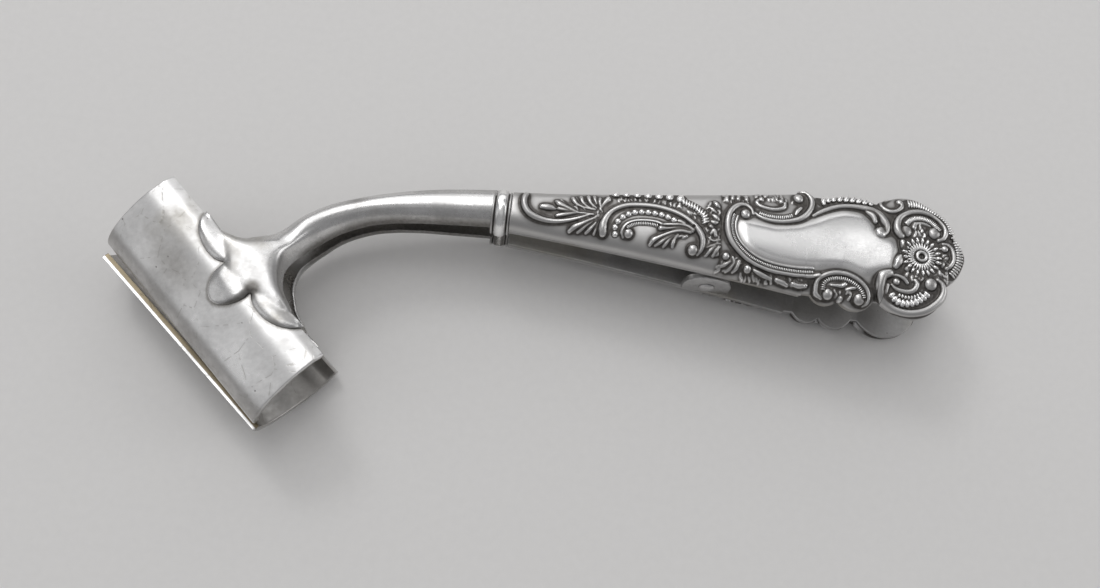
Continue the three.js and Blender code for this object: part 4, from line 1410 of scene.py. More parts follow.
class StudTree:
    """Geometry Nodes that set a rounded stud on every point of a guide.

    The guide's points carry the directions "lift" and "way" and the half sizes "size".
    """

    def __init__(self, name: str, finish: Finish, bench: Bench) -> None:
        """Builds the tree.

        Args:
            name: Name of the tree.
            finish: Finish of the studs.
            bench: The bench that knows the row frame.
        """
        self.bench = bench
        self.tree = bpy.data.node_groups.new(name, "GeometryNodeTree")
        graph = Graph(self.tree)
        face = self.tree.interface
        face.new_socket("Geometry", in_out="INPUT", socket_type="NodeSocketGeometry")
        face.new_socket("Geometry", in_out="OUTPUT", socket_type="NodeSocketGeometry")
        self.sockets = {}
        for key, kind, start in (
            ("Sides", "NodeSocketInt", 12),
            ("Rings", "NodeSocketInt", 8),
            ("Taper", "NodeSocketFloat", 0.0),
            ("Scale", "NodeSocketFloat", MILLIMETRE),
        ):
            socket = face.new_socket(key, in_out="INPUT", socket_type=kind)
            socket.default_value = start
            self.sockets[key] = socket.identifier
        inputs = graph.node("NodeGroupInput", {}, {}).outputs
        terms = {"Segments": inputs["Sides"], "Rings": inputs["Rings"], "Radius": 1.0}
        ball = graph.node("GeometryNodeMeshUVSphere", {}, terms)
        place = graph.node("GeometryNodeInputPosition", {}, {})
        parts = graph.node("ShaderNodeSeparateXYZ", {}, {0: place.outputs[0]})
        x, y, z = (graph.value(parts, i) for i in range(3))
        narrow = 1.0 - x * Value(self.tree, inputs["Taper"])
        shaped = graph.node("ShaderNodeCombineXYZ", {}, {0: x, 1: y * narrow, 2: z})
        terms = {"Geometry": ball.outputs[0], "Position": shaped.outputs[0]}
        moved = graph.node("GeometryNodeSetPosition", {}, terms)
        # The rise is low at a stud's foot and high on its top, so its foot darkens: partly patina, partly
        # painted shade.
        settings = {"data_type": "FLOAT", "domain": "POINT"}
        terms = {"Geometry": moved.outputs[0], "Name": "rise", "Value": z.ramp(-0.25, 0.75)}
        stored = graph.node("GeometryNodeStoreNamedAttribute", settings, terms)
        lift, way, size = (self.carried(graph, name) for name in ("lift", "way", "size"))
        settings = {"primary_axis": "Z", "secondary_axis": "X"}
        aimed = graph.node("FunctionNodeAxesToRotation", settings, {0: lift, 1: way})
        terms = {0: size, "Scale": inputs["Scale"]}
        scaled = graph.node("ShaderNodeVectorMath", {"operation": "SCALE"}, terms)
        terms = {"Points": inputs["Geometry"], "Instance": stored.outputs[0]}
        terms |= {"Rotation": aimed.outputs[0], "Scale": scaled.outputs[0]}
        set_on = graph.node("GeometryNodeInstanceOnPoints", {}, terms)
        real = graph.node("GeometryNodeRealizeInstances", {}, {0: set_on.outputs[0]})
        terms = {"Geometry": real.outputs[0], "Material": finish.material}
        dressed = graph.node("GeometryNodeSetMaterial", {}, terms)
        graph.node("NodeGroupOutput", {}, {"Geometry": dressed.outputs[0]})

    @staticmethod
    def carried(graph: Graph, name: str) -> bpy.types.NodeSocket:
        """Reads a direction or size that the guide's points carry."""
        node = graph.node("GeometryNodeInputNamedAttribute", {"data_type": "FLOAT_VECTOR"}, {"Name": name})
        return node.outputs[0]

    def grow(self, name: str, guide: dict, side: Side, **inputs: float) -> bpy.types.Object:
        """Sets studs on a guide and turns the result into a plain piece.

        Args:
            name: Name of the piece.
            guide: Places, directions and sizes of the studs.
            side: The arm that the piece is for.
            inputs: Values of the tree's named inputs.

        Returns:
            The new object.
        """
        mesh = bpy.data.meshes.new(name + "_guide")
        mesh.from_pydata(self.bench.place(guide["place"], side).tolist(), [], [])
        for key, factor in (("lift", side.mirror), ("way", side.mirror), ("size", np.ones(3))):
            layer = mesh.attributes.new(key, "FLOAT_VECTOR", "POINT")
            layer.data.foreach_set("vector", (guide[key] * factor).astype(np.float32).reshape(-1))
        helper = shown(name + "_guide", mesh)
        modifier = helper.modifiers.new("studs", "NODES")
        modifier.node_group = self.tree
        for key, number in inputs.items():
            modifier[self.sockets[key]] = number
        made = baked(helper, name)
        made.shade_smooth()
        return shown(name, made)


# Collar, neck and jaw


@dataclass(frozen=True)
class Collar:
    """Beaded collar between the neck and the handle.

    Attributes:
        profile: Shares of half the width and of the stand across the ring.
    """

    width: float = 2.5
    stand: float = 0.55
    throat: float = 2.8
    flat: float = 1.95
    height: float = 3.05
    profile: tuple = (
        (-1.0, 0.0), (-0.99, 0.3), (-0.93, 0.42), (-0.84, 0.42), (-0.78, 0.3), (-0.75, 0.02),
        (-0.7, 0.0), (-0.66, 0.1), (-0.6, 0.48), (-0.45, 0.82), (-0.22, 0.97), (0.0, 1.0),
        (0.22, 0.97), (0.45, 0.82), (0.6, 0.48), (0.66, 0.1), (0.7, 0.0), (0.75, 0.02),
        (0.78, 0.3), (0.84, 0.42), (0.93, 0.42), (0.99, 0.3), (1.0, 0.0),
    )

    def shape(self) -> Shape:
        """The ring with its bead and two fine fillets.

        Returns:
            The ring, which carries the rise of its relief.
        """
        outline = np.array(self.profile)
        share = np.linspace(0, len(outline) - 1, 3 * len(outline))
        along, out = (np.interp(share, np.arange(len(outline)), column) for column in outline.T)
        angles = np.linspace(0.0, math.pi, 49)
        loops = []
        for x, more in zip(along * self.width / 2, out * self.stand):
            y = (self.throat + more) * np.cos(angles)
            z = self.flat - more / 3 + (self.height + more * 4 / 3) * np.sin(angles)
            loops.append(np.stack([np.full_like(y, x), y, z], axis=1))
        # The rise is low in the grooves and at the ends, so they darken: partly patina, partly painted shade.
        rise = 0.15 + 0.85 * np.repeat(out[:, None], len(angles), axis=1)
        return Shape.skin(np.array(loops), rise=rise)


@dataclass(frozen=True)
class JawForm:
    """Curved sheet jaw. Its own frame has x across it from the neck edge and y along it.

    Attributes:
        turn: Extra turn in degrees.
        reach: Collar centre back to the jaw's edge.
        drop: Sideways from the handle's axis to the jaw's edge.
        angle: Of the jaw's crosswise axis from the handle's, in degrees.
        shift: Of the mount from the middle of the edge.
        rim_share: Share of the far rim, from the outer face, that is rubbed bright.
        patch: Tarnished patch: its middle along the sheet's section and along the jaw, its half
            sizes and its strength.
    """

    width: float = 12.05
    turn: float = 0.0
    reach: float = 30.9
    drop: float = 13.6
    angle: float = 47.8
    length: float = 32.2
    shift: float = 1.17
    wall: float = 0.9
    crown: float = 6.15
    neck_edge: float = 5.45
    bite: float = 0.15
    crown_from: float = 0.16
    crown_to: float = 0.28
    edge: float = 0.14
    step: float = 0.25
    # Where and how strongly a dark reflection is painted low on the outer face, near the bite.
    foot: tuple = (10.4, 11.7)
    foot_reflection: float = 0.5
    # Painted shade over the whole inner face.
    lining_shade: float = 0.8
    rim_share: float = 0.3
    rim_blend: float = 0.14
    # Painted shadow line on the inner strip of the far rim.
    rim_shadow_line: float = 1.5
    # Painted shade beside the petals' outlines on the sheet, and round their feet on the neck.
    crease_shade: float = 0.9
    crease: tuple = (0.05, 0.45)
    patch: tuple = (7.4, -7.2, 3.0, 4.8, 0.7)

    def line(self) -> Points:
        """Outer line of the sheet from its neck edge to its far edge.

        Returns:
            Rows of x and z.
        """
        width, crown = self.width, self.crown
        start, end = width * self.crown_from, width * self.crown_to
        rise = bezier([(0, self.neck_edge), (start / 2, crown), (start, crown)], 16)
        level = bezier([(start, crown), (end, crown)], 6)
        corners = [(end, crown), (width * 0.52, crown), (width * 1.06, crown * 0.54), (width, self.bite)]
        fall = bezier(corners, 48)
        return np.vstack([rise, level[1:], fall[1:]])

    @property
    def heading(self) -> float:
        """Turn from the handle's frame to the jaw's, in radians."""
        return math.pi + math.radians(self.angle + self.turn)

    def placed(self, points: Points) -> Points:
        """Turns points of the jaw's frame into the handle's."""
        flat = turned(points, self.heading) - (self.reach, self.drop)
        return np.concatenate([flat, points[..., 2:]], axis=-1)

    def taken(self, points: Points) -> Points:
        """Turns points of the handle's frame into the jaw's."""
        flat = turned(points[..., :2] + (self.reach, self.drop), -self.heading)
        return np.concatenate([flat, points[..., 2:]], axis=-1)

    def tarnish_and_shade_marks(self, places: Points, arcs: Points, edges: Points) -> Points:
        """How darkly the outer face is marked: a painted dark reflection low down, real tarnishing in one
        patch and painted shade beside the petals.

        Args:
            places: Places across and along the jaw.
            arcs: How far each point of a loop is from the neck edge along the sheet.
            edges: Outlines of the petals.

        Returns:
            Shares from 0 to 1.
        """
        # Painted dark reflection low down near the bite.
        foot = self.foot_reflection * eased(arcs, *self.foot)
        middle, along, half_across, half_along, most = self.patch
        away = ((arcs - middle) / half_across) ** 2 + ((places[..., 1] - along) / half_along) ** 2
        # Painted shade in the crease beside the petals.
        near = np.array([np.linalg.norm(row[:, None] - edges[None], axis=2).min(axis=1) for row in places])
        crease = self.crease_shade * (1.0 - eased(near, *self.crease))
        return np.maximum(np.maximum(foot, most * np.exp(-away)), crease)

    def shape(self, edges: Points) -> Shape:
        """The sheet with its edges rounded by wear, and its dark mark of real tarnishing and painted shade.

        Args:
            edges: Outlines of the petals that lie on it.

        Returns:
            The sheet.
        """
        line = self.line()
        count = len(line)
        inner = line - normals_of(line) * self.wall
        rim = [line[-1] + (inner[-1] - line[-1]) * (self.rim_share + more) for more in (0.0, self.rim_blend)]
        section = np.vstack([line, rim, inner[::-1]])
        start = -self.length / 2 - self.shift
        ends = rounded_plate(section, start, start + self.length, self.edge)
        half = len(ends) // 2
        shares = np.linspace(0.0, 1.0, round(self.length / self.step))[1:-1, None, None]
        between = ends[half - 1] + (ends[half] - ends[half - 1]) * shares
        loops = np.concatenate([ends[:half], between, ends[half:]])[..., [0, 2, 1]]
        # The inner face takes painted shade all over. The rubbed outer strip of the far rim stays clear, and
        # its inner strip takes a painted shadow line.
        dark_mark = np.full(loops.shape[:2], self.lining_shade)
        dark_mark[:, :count] = self.tarnish_and_shade_marks(loops[:, :count, :2], run_of(line), edges)
        dark_mark[:, count - 1 : count + 1] = 0.0
        dark_mark[:, count + 1 : count + 3] = self.rim_shadow_line
        return Shape.skin(self.placed(loops), tarnish=dark_mark)


@dataclass(frozen=True)
class NeckForm:
    """D-section neck that flows into a mount of three petals on the jaw.

    Attributes:
        offset: Of the neck from the handle's axis at the collar.
        middle_half: Half width of the middle petal where it leaves the side petals.
        cusp_share: Share of the side petals' reach at which the middle one leaves them.
        side_dome: Dome of a side petal and share of its way in over which the edge rounds off.
        fullness: How much fuller than an ellipse the mount's section is.
        scuffs: Place, reach and strength of dull spots on the neck and the mount.
        shade_reach: Width of the painted shadow along one edge of the middle petal, at its root.
        flank: Heights over the flat side up to which the painted shade on the neck's flanks is full and at
            which it ends.
        voxel: Step of the grid that melts the neck and the petals together.
        blending: Further rounds behind the petals, where they run into the mount.
        way: Shares of reach, drop, level, half width and height along the neck.
        flare: Shares of place, outer and inner reach, level and top into the mount.
    """

    jaw: JawForm
    half_width: float = 2.7
    height: float = 2.95
    flat: float = 1.8
    jaw_flat: float = 4.75
    offset: float = 0.52
    start: float = 0.8
    span: float = 10.45
    side_reach: float = 3.05
    middle_reach: float = 6.55
    middle_half: float = 2.5
    cusp_share: float = 0.52
    overhang: float = 0.4
    thickness: float = 0.75
    side_dome: tuple = (0.2, 0.22)
    middle_dome: tuple = (0.22, 0.4)
    top: float = 6.95
    flare_step: float = 5.1
    gap: float = 0.03
    voxel: float = 0.1
    smoothing: int = 7
    blending: int = 70
    blend_start: tuple = (-4.5, -2.5)
    blend_end: tuple = (0.5, 1.7)
    blend_sides: tuple = (7.5, 9.5)
    blend_share: float = 0.6
    fullness: float = 1.3
    scuffs: tuple = ((-19.6, -1.4, 1.6, 0.5), (-29.9, -12.5, 3.0, 0.2))
    # Heights over the sheet up to which the painted shade round the petals' feet is full and at which it
    # ends.
    foot: tuple = (0.1, 0.32)
    shade_reach: float = 1.7
    petal_shadow: float = 1.0
    flank_shade: float = 1.0
    flank: tuple = (0.7, 2.6)
    flank_fade: float = 2.0
    way: tuple = (
        (0, 0, 0, 1, 1),
        (0.227, 0.037, -0.07, 0.94, 0.98),
        (0.369, 0.074, -0.135, 0.86, 0.99),
        (0.498, 0.127, -0.17, 0.78, 1),
        (0.599, 0.191, -0.185, 0.75, 1.03),
        (0.715, 0.304, -0.17, 0.79, 1.1),
        (0.809, 0.457, -0.1, 0.82, 1.22),
    )
    flare: tuple = (
        (-1.2, 0.3, 0.12, 0.035, 0.8),
        (-0.88, 0.345, 0.14, 0.2, 0.88),
        (-0.59, 0.39, 0.225, 0.44, 0.945),
        (-0.39, 0.42, 0.345, 0.68, 0.98),
        (-0.235, 0.49, 0.48, 0.88, 1),
        (-0.1, 0.625, 0.75, 1, 1),
        (0.06, 0.6, 0.68, 1, 1),
        (0.3, 0.32, 0.34, 1, 1),
        (0.6, 0.18, 0.18, 1, 0.98),
        (1, 0.07, 0.07, 1, 0.92),
    )

    def level(self, share: Points) -> Points:
        """Height of the flat side at a share of its change."""
        return self.flat + share * (self.jaw_flat - self.flat)

    def seat(self, across: Points) -> Points:
        """Height of the jaw's outer face at places across it."""
        line = self.jaw.line()
        return np.interp(across, line[:, 0], line[:, 1])

    @property
    def cusp(self) -> float:
        """Place across the jaw at which the middle petal leaves the side petals."""
        return self.side_reach * self.cusp_share

    def stations(self) -> Points:
        """Sections of the neck and its flare.

        Returns:
            Rows of the flat side's middle, the direction across, both reaches, the height and the
            place across the jaw.
        """
        jaw, width, span = self.jaw, self.flare_step, self.span
        way, flare = np.array(self.way), np.array(self.flare)
        out = jaw.placed(np.array([0.0, -1.0, 0.0])) - jaw.placed(np.zeros(3))
        centres = -way[:, :2] * (jaw.reach, jaw.drop + self.offset) + (0.0, self.offset)
        centres[0, 0] = -self.start
        place, outer, inner, *_ = flare[0]
        first = jaw.placed(np.array([place * width, (inner - outer) / 2 * span, 0.0]))
        step = np.gradient(np.vstack([centres, first[:2]]), axis=0)[:-1]
        step[0] = -1.0, 0.0
        rows = []
        for (_, _, lift, wide, tall), centre, (ahead, aside) in zip(way, centres, unit(step)):
            half = self.half_width * wide
            rows.append([*centre, self.level(lift), aside, -ahead, half, half, self.height * tall, OFF_JAW])
        for place, outer, inner, lift, tall in flare:
            centre = jaw.placed(np.array([place * width, 0.0, self.level(lift)]))
            sizes = (outer * span, inner * span, self.top * tall - centre[2])
            rows.append([*centre, *out[:2], *sizes, place * width])
        return np.array(rows)

    def rod(self) -> Shape:
        """The neck and its flare, skinned in one go.

        Returns:
            A closed body.
        """
        angles = np.linspace(0.0, math.pi, 41)
        loops = []
        for row in spline(self.stations(), 130):
            centre, across, (outer, inner, height, place) = row[:3], unit(row[3:5]), row[5:]
            power = 2.0 / (2.0 + self.fullness * eased(place / self.flare_step, -1.0, -0.2))
            side = np.sign(np.cos(angles)) * np.abs(np.cos(angles)) ** power
            arch = np.clip(np.sin(angles), 0.0, 1.0) ** power
            reach = side * np.where(side > 0, outer, inner)
            flat = centre[2]
            if place > -self.overhang:
                flat = max(flat, self.seat(max(place, 0.0)) + self.gap)
            top = max(centre[2] + height, flat + self.gap)
            loops.append(np.column_stack([centre[:2] + across * reach[:, None], flat + (top - flat) * arch]))
        return Shape.skin(np.array(loops))

    def petal(self, outline: Points, centre: tuple, dome: float, rim: float) -> Shape:
        """A pillow-shaped petal that lies on the jaw.

        Args:
            outline: Closed outline in the jaw's frame.
            centre: Place that the outline shrinks to.
            dome: Extra height over the edge's thickness.
            rim: Share of the way to the centre over which the edge rounds off.

        Returns:
            A closed body.
        """
        sizes, lifts = [0.05, 0.4, 0.75, 1.0], [0.0] * 4
        for inset in np.linspace(0.0, 0.95, 16):
            edge = math.sqrt(1 - (1 - min(inset / rim, 1.0)) ** 2)
            sizes.append(1.0 - inset)
            lifts.append(self.thickness * (0.3 + 0.7 * edge) * 0.7 + dome * (1 - sizes[-1] ** 2))
        loops = []
        for size, lift in zip(sizes, lifts):
            ring = centre + (outline - centre) * size
            loops.append(np.column_stack([ring, self.seat(ring[:, 0]) + self.gap + lift]))
        return Shape.skin(self.jaw.placed(np.array(loops)))

    def petals(self) -> list[tuple]:
        """The two side petals and the middle one.

        Returns:
            Outline, centre, dome and rim of each.
        """
        back, half, span, cusp = -self.overhang, self.middle_half, self.span, self.cusp
        reach, tip = self.side_reach, self.middle_reach
        found = []
        for way in (-1.0, 1.0):
            corners = ((back, span), (reach * 1.05, span * 0.92), (reach * 1.28, span * 0.33), (cusp, half))
            edge = bezier([(x, way * y) for x, y in corners], 48)
            behind = [(cusp * 0.3, way * half * 0.55), (back, way * half * 0.5)]
            base = np.linspace((back, way * half * 1.2), (back, way * span * 0.95), 16)
            found.append((np.vstack([edge, behind, base]), (back, way * span * 0.4), *self.side_dome))
        lead = bezier([(cusp, -half), (tip * 0.49, -half * 1.36), (tip, -half * 0.76), (tip, 0)], 30)
        trail = lead[::-1] * (1.0, -1.0)
        foot = [(back, half * 0.8), (back, -half * 0.8)]
        found.append((np.vstack([lead, trail[1:], foot]), (tip * 0.4, 0.0), *self.middle_dome))
        return found

    def edges(self) -> Points:
        """Points of the petals' outlines in the jaw's frame."""
        return np.vstack([outline for outline, *_ in self.petals()])

    def shape(self) -> Shape:
        """Melts the neck and the petals together and softens the joints between them.

        Returns:
            The neck with its mount, which carries its dark mark, mostly painted shade.
        """
        rough = self.rod().joined(*(self.petal(*numbers) for numbers in self.petals()))
        mesh = bpy.data.meshes.new("neck_rough")
        mesh.from_pydata(rough.points.tolist(), [], rough.faces)
        helper = shown("neck_rough", mesh)
        melt = helper.modifiers.new("melt", "REMESH")
        melt.mode = "VOXEL"
        melt.voxel_size = self.voxel
        soften = helper.modifiers.new("soften", "SMOOTH")
        soften.factor = 0.5
        soften.iterations = self.smoothing
        made = baked(helper, "neck_melted")
        places = np.zeros(len(made.vertices) * 3)
        made.vertices.foreach_get("co", places)
        faces = [list(polygon.vertices) for polygon in made.polygons]
        pairs = np.zeros(len(made.edges) * 2, dtype=np.int64)
        made.edges.foreach_get("vertices", pairs)
        bpy.data.meshes.remove(made)
        points = self.blended(places.reshape(-1, 3), pairs.reshape(-1, 2))
        return Shape(points, faces, {"tarnish": self.tarnish_and_shade_marks(points)}).outward()

    def tarnish_and_shade_marks(self, points: Points) -> Points:
        """How darkly places are marked, mostly with painted shade.

        Args:
            points: Places in the handle's frame.

        Returns:
            The most of the painted shade at the foot of the petals, the painted shadow on one side of the
            middle petal, the dull spots, and the painted shade on the flanks and the flat side of the neck.
        """
        own = self.jaw.taken(points)
        # Painted shade round the foot of the petals.
        lift = own[:, 2] - self.seat(own[:, 0])
        foot = self.jaw.crease_shade * (1.0 - eased(lift, *self.foot)) * (own[:, 0] > 0.0)
        # Painted shadow along one edge of the middle petal.
        outline = self.petals()[-1][0]
        edge = outline[(outline[:, 1] > 0.0) & (outline[:, 0] >= self.cusp)]
        near = np.linalg.norm(own[:, None, :2] - edge[None], axis=2).min(axis=1)
        left = np.clip((self.middle_reach - own[:, 0]) / (self.middle_reach - self.cusp), 0.1, 1.0)
        dark_mark = np.maximum(foot, self.petal_shadow * (1.0 - eased(near / (left * self.shade_reach), 0.3, 1.0)))
        for x, y, reach, most in self.scuffs:
            away = np.hypot(points[:, 0] - x, points[:, 1] - y) / reach
            dark_mark = np.maximum(dark_mark, most * np.exp(-(away**2)))
        # Painted shade on the flanks and the flat side of the neck, fading out towards the mount.
        along, _, lifts, *_ = np.array(self.way).T
        along, back = along * self.jaw.reach, -points[:, 0]
        rise = points[:, 2] - np.interp(back, along, self.level(lifts))
        flank = self.flank_shade * (1.0 - eased(rise, *self.flank))
        return np.maximum(dark_mark, flank * (1.0 - eased(back, along[-1], along[-1] + self.flank_fade)))

    def blended(self, points: Points, pairs: Points) -> Points:
        """Smooths the strip behind the petals and leaves their outer edges crisp.

        Args:
            points: Corners of the mesh in the handle's frame.
            pairs: Corners that each edge joins.

        Returns:
            The corners after smoothing.
        """
        x, y, _ = self.jaw.taken(points).T
        share = eased(x, *self.blend_start) * (1.0 - eased(x, *self.blend_end))
        share *= self.blend_share * (1.0 - eased(np.abs(y), *self.blend_sides))
        first, second = pairs.T
        joints = np.bincount(pairs.ravel(), minlength=len(points))
        smooth = points.copy()
        for _ in range(self.blending):
            for values in smooth.T:
                total = np.bincount(first, values[second], len(points))
                total += np.bincount(second, values[first], len(points))
                values += share * (total / joints - values)
        return smooth


# Hinge and spring


@dataclass(frozen=True)
class HingeForm:
    """Ears, pin and spring between the two arms.

    Attributes:
        form: The handle that they join.
    """

    form: HandleForm
    along: float = 29.7
    level: float = -1.2
    ear_radius: float = 3.35
    ear_thickness: float = 0.9
    ear_edge: float = 0.12
    pin_radius: float = 0.8
    head_radius: float = 1.15
    head_height: float = 0.45
    head_tip: float = 0.04
    gap: float = 0.05
    spring_root: float = 35.6
    spring_root_length: float = 6.2
    spring_tip: float = 54.2
    spring_width: float = 4.4
    spring_thickness: float = 0.45
    spring_clearance: float = 0.3
    rivet_radius: float = 1.05
    rivet_height: float = 0.4

    def ear(self, front: bool) -> Shape:
        """A rounded ear that stands on the lower plate.

        Args:
            front: Whether it is the one on the jaw's side.

        Returns:
            A closed body.
        """
        angles = np.linspace(0.0, math.pi, 33)
        middle, radius = (self.along, self.level), self.ear_radius
        arc = middle + radius * np.column_stack([np.cos(angles), np.sin(angles)])
        foot_x = np.array([self.along - radius, self.along + radius])
        foot = np.column_stack([foot_x, -self.form.plate_level(foot_x) + self.gap])
        face = float(min(self.form.reach(self.along, True), self.form.reach(self.along, False)))
        low, high = (-face, -face + self.ear_thickness) if front else (face - self.ear_thickness, face)
        return Shape.skin(rounded_plate(np.vstack([arc, foot]), low, high, self.ear_edge)[..., [0, 2, 1]])

    def pin(self) -> Shape:
        """The pin with a domed head at each end.

        Returns:
            A closed body.
        """
        shoulder = float(self.form.reach(self.along, True)) + self.gap
        angles = np.linspace(0.0, math.pi / 2, 10)[:-1]
        radii = np.array([self.pin_radius, *self.head_radius * np.cos(angles), self.head_tip])
        heights = np.array([0.0, *self.head_height * np.sin(angles), self.head_height])
        places = np.concatenate([-(shoulder + heights[::-1]), shoulder + heights])
        loops = []
        for radius, place in zip([*radii[::-1], *radii], places):
            ring = circle((self.along, self.level), radius, 41)[:-1]
            loops.append(np.insert(ring, 1, place, axis=1))
        return Shape.skin(np.array(loops))

    def spring_line(self) -> Points:
        """Middle line of the leaf as x and z, from its root to its curled tip.

        Returns:
            Points of the line.
        """
        half = self.spring_thickness / 2
        first, tip = self.spring_root, self.spring_tip
        last = first + self.spring_root_length
        run = tip - last
        start_z, end_z = (self.gap + half - float(self.form.plate_level(x)) for x in (first, last))
        touch = float(self.form.plate_level(tip)) - self.spring_clearance - half
        root = bezier([(first, start_z), (last, end_z)], 8)
        bend = [(last + run * 0.45, end_z), (last + run * 0.55, touch - run * 0.12)]
        sweep = bezier([(last, end_z), *bend, (tip - run * 0.08, touch)], 40)
        end = [(tip + run * 0.03, touch), (tip + run * 0.1, touch - run * 0.06)]
        curl = bezier([tuple(sweep[-1]), *end], 10)
        return np.vstack([root, sweep[1:], curl[1:]])

    def spring(self) -> Shape:
        """The leaf spring, a little narrower at its tip.

        Returns:
            A closed body.
        """
        line = self.spring_line()
        half, edge = self.spring_thickness / 2, self.spring_thickness / 4
        share = np.linspace(0, 1, len(line))
        wide = self.spring_width / 2 * (1 - 0.12 * share) * np.clip(0.75 + 12 * (1 - share), 0, 1)
        loops = []
        for (x, z), (nx, nz), side in zip(line, normals_of(line), wide):
            corner = ((side - edge, half), (side, half - edge), (side, edge - half), (side - edge, -half))
            ring = [*corner, *((-y, up) for y, up in corner[::-1])]
            loops.append([(x + nx * up, y, z + nz * up) for y, up in ring])
        return Shape.skin(np.array(loops))

    def rivets_guide(self) -> dict:
        """Guide of the two rivet heads on the spring's root.

        Returns:
            Arrays of the places, normals, ways and sizes.
        """
        inset = self.spring_root_length / 4
        x = np.array([self.spring_root + inset, self.spring_root + self.spring_root_length - inset])
        z = -self.form.plate_level(x) + self.spring_thickness + 2 * self.gap
        return {
            "place": np.column_stack([x, np.zeros(2), z]),
            "lift": np.tile([0.0, 0.0, 1.0], (2, 1)),
            "way": np.tile([1.0, 0.0, 0.0], (2, 1)),
            "size": np.tile([self.rivet_radius, self.rivet_radius, self.rivet_height], (2, 1)),
        }


# Assembly


@dataclass
class Arm:
    """One arm: jaw, neck, collar, struck shell, back plate and ornament.

    Attributes:
        lip: How much wider than the upper one its jaw is.
        turn: Extra turn of the jaw in degrees.
        ornament: Rows of studs, with the sides, rings and taper of a stud.
    """

    side: Side
    bench: Bench
    handle: Handle
    lip: float = 0.0
    turn: float = 0.0
    ornament: tuple = (
        ("pearls", PEARL_ROWS, 16, 10, 0.0),
        ("scroll_ribs", RIB_ROWS, 8, 6, 0.0),
        ("leaf_fringe", FRINGE_ROWS, 12, 8, 0.25),
        ("flower_petals", flower_rows(), 8, 6, -0.3),
    )

    def name(self, part: str) -> str:
        """Name of a part of this arm."""
        return f"{self.side.value}_{part}"

    def build(self, studs: StudTree) -> None:
        """Builds and dresses the arm.

        Args:
            studs: Tree that sets the small repeated ornament.
        """
        body, side, handle = self.side.body, self.side, self.handle
        jaw = JawForm(width=JawForm.width + self.lip, turn=self.turn)
        mount, form = NeckForm(jaw), handle.form
        shank = handle.shell(form.start, handle.split, handle.shank_points)
        panel = handle.shell(handle.split, form.length * form.last, handle.panel_points)
        for part, shape, finish, slot, node, sharp in (
            ("jaw_sheet", jaw.shape(mount.edges()), Finish.JAW, Slot.POLISHED, "jaw", CREASE),
            ("neck_and_petals", mount.shape(), Finish.NECK, Slot.POLISHED, "neck", SMOOTH),
            ("collar_bead", Collar().shape(), Finish.STRUCK, Slot.POLISHED, "collar", BEAD_CREASE),
            ("shank_relief", shank, Finish.STRUCK, Slot.STRUCK, "handle_shell", SMOOTH),
            ("panel_relief", panel, Finish.STRUCK, Slot.STRUCK, "handle_shell", SMOOTH),
            ("closing_plate", handle.back_plate(), Finish.PLATE, Slot.PLAIN, "back_plate", CREASE),
        ):
            piece = self.bench.piece(self.name(part), shape, side, finish, sharp)
            settle(piece, body, slot, self.name(node))
        for part, rows, sides, rings, taper in self.ornament:
            guide, sizes = handle.rows_guide(rows), {"Sides": sides, "Rings": rings, "Taper": taper}
            piece = studs.grow(self.name(part), guide, side, **sizes)
            settle(piece, body, Slot.STRUCK)


@dataclass
class Hinge:
    """The hinge between the arms, with the spring that opens them."""

    bench: Bench
    sizes: HingeForm

    def build(self, studs: StudTree, nodes: dict) -> None:
        """Builds and dresses the hinge.

        Args:
            studs: Tree that sets the rivets.
            nodes: CAD nodes by name.
        """
        lower = Side.LOWER.body
        sizes = self.sizes
        for part, shape, node in (
            ("hinge_ear_front_rounded", sizes.ear(True), "hinge_ear_front"),
            ("hinge_ear_back_rounded", sizes.ear(False), "hinge_ear_back"),
            ("hinge_pin_domed", sizes.pin(), "hinge_pin"),
        ):
            piece = self.bench.piece(part, shape, Side.UPPER, Finish.FITTINGS, CREASE)
            settle(piece, lower, Slot.PLAIN, node)
        for slot in nodes["hinge_bracket"].material_slots:
            slot.material = Finish.FITTINGS.material
        spring = self.bench.piece("leaf_spring_bent", sizes.spring(), Side.UPPER, Finish.SPRING, CREASE)
        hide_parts("leaf_spring")
        level = sizes.spring_line()[0, 1]
        ends = [(sizes.spring_root + sizes.spring_root_length, 0.0, level), (sizes.spring_tip, 0.0, level)]
        start, end = (tuple(self.bench.place(place)) for place in ends)
        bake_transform(spring)
        rivets = studs.grow("spring_rivets", sizes.rivets_guide(), Side.UPPER, Sides=24, Rings=14)
        settle(rivets, lower, Slot.SPRING, "spring_rivet_1", "spring_rivet_2")


@dataclass(frozen=True)
class Lamp:
    """A soft box: where it stands, its width and height in metres and its strength in watts."""

    name: str
    place: tuple
    size: tuple
    strength: float


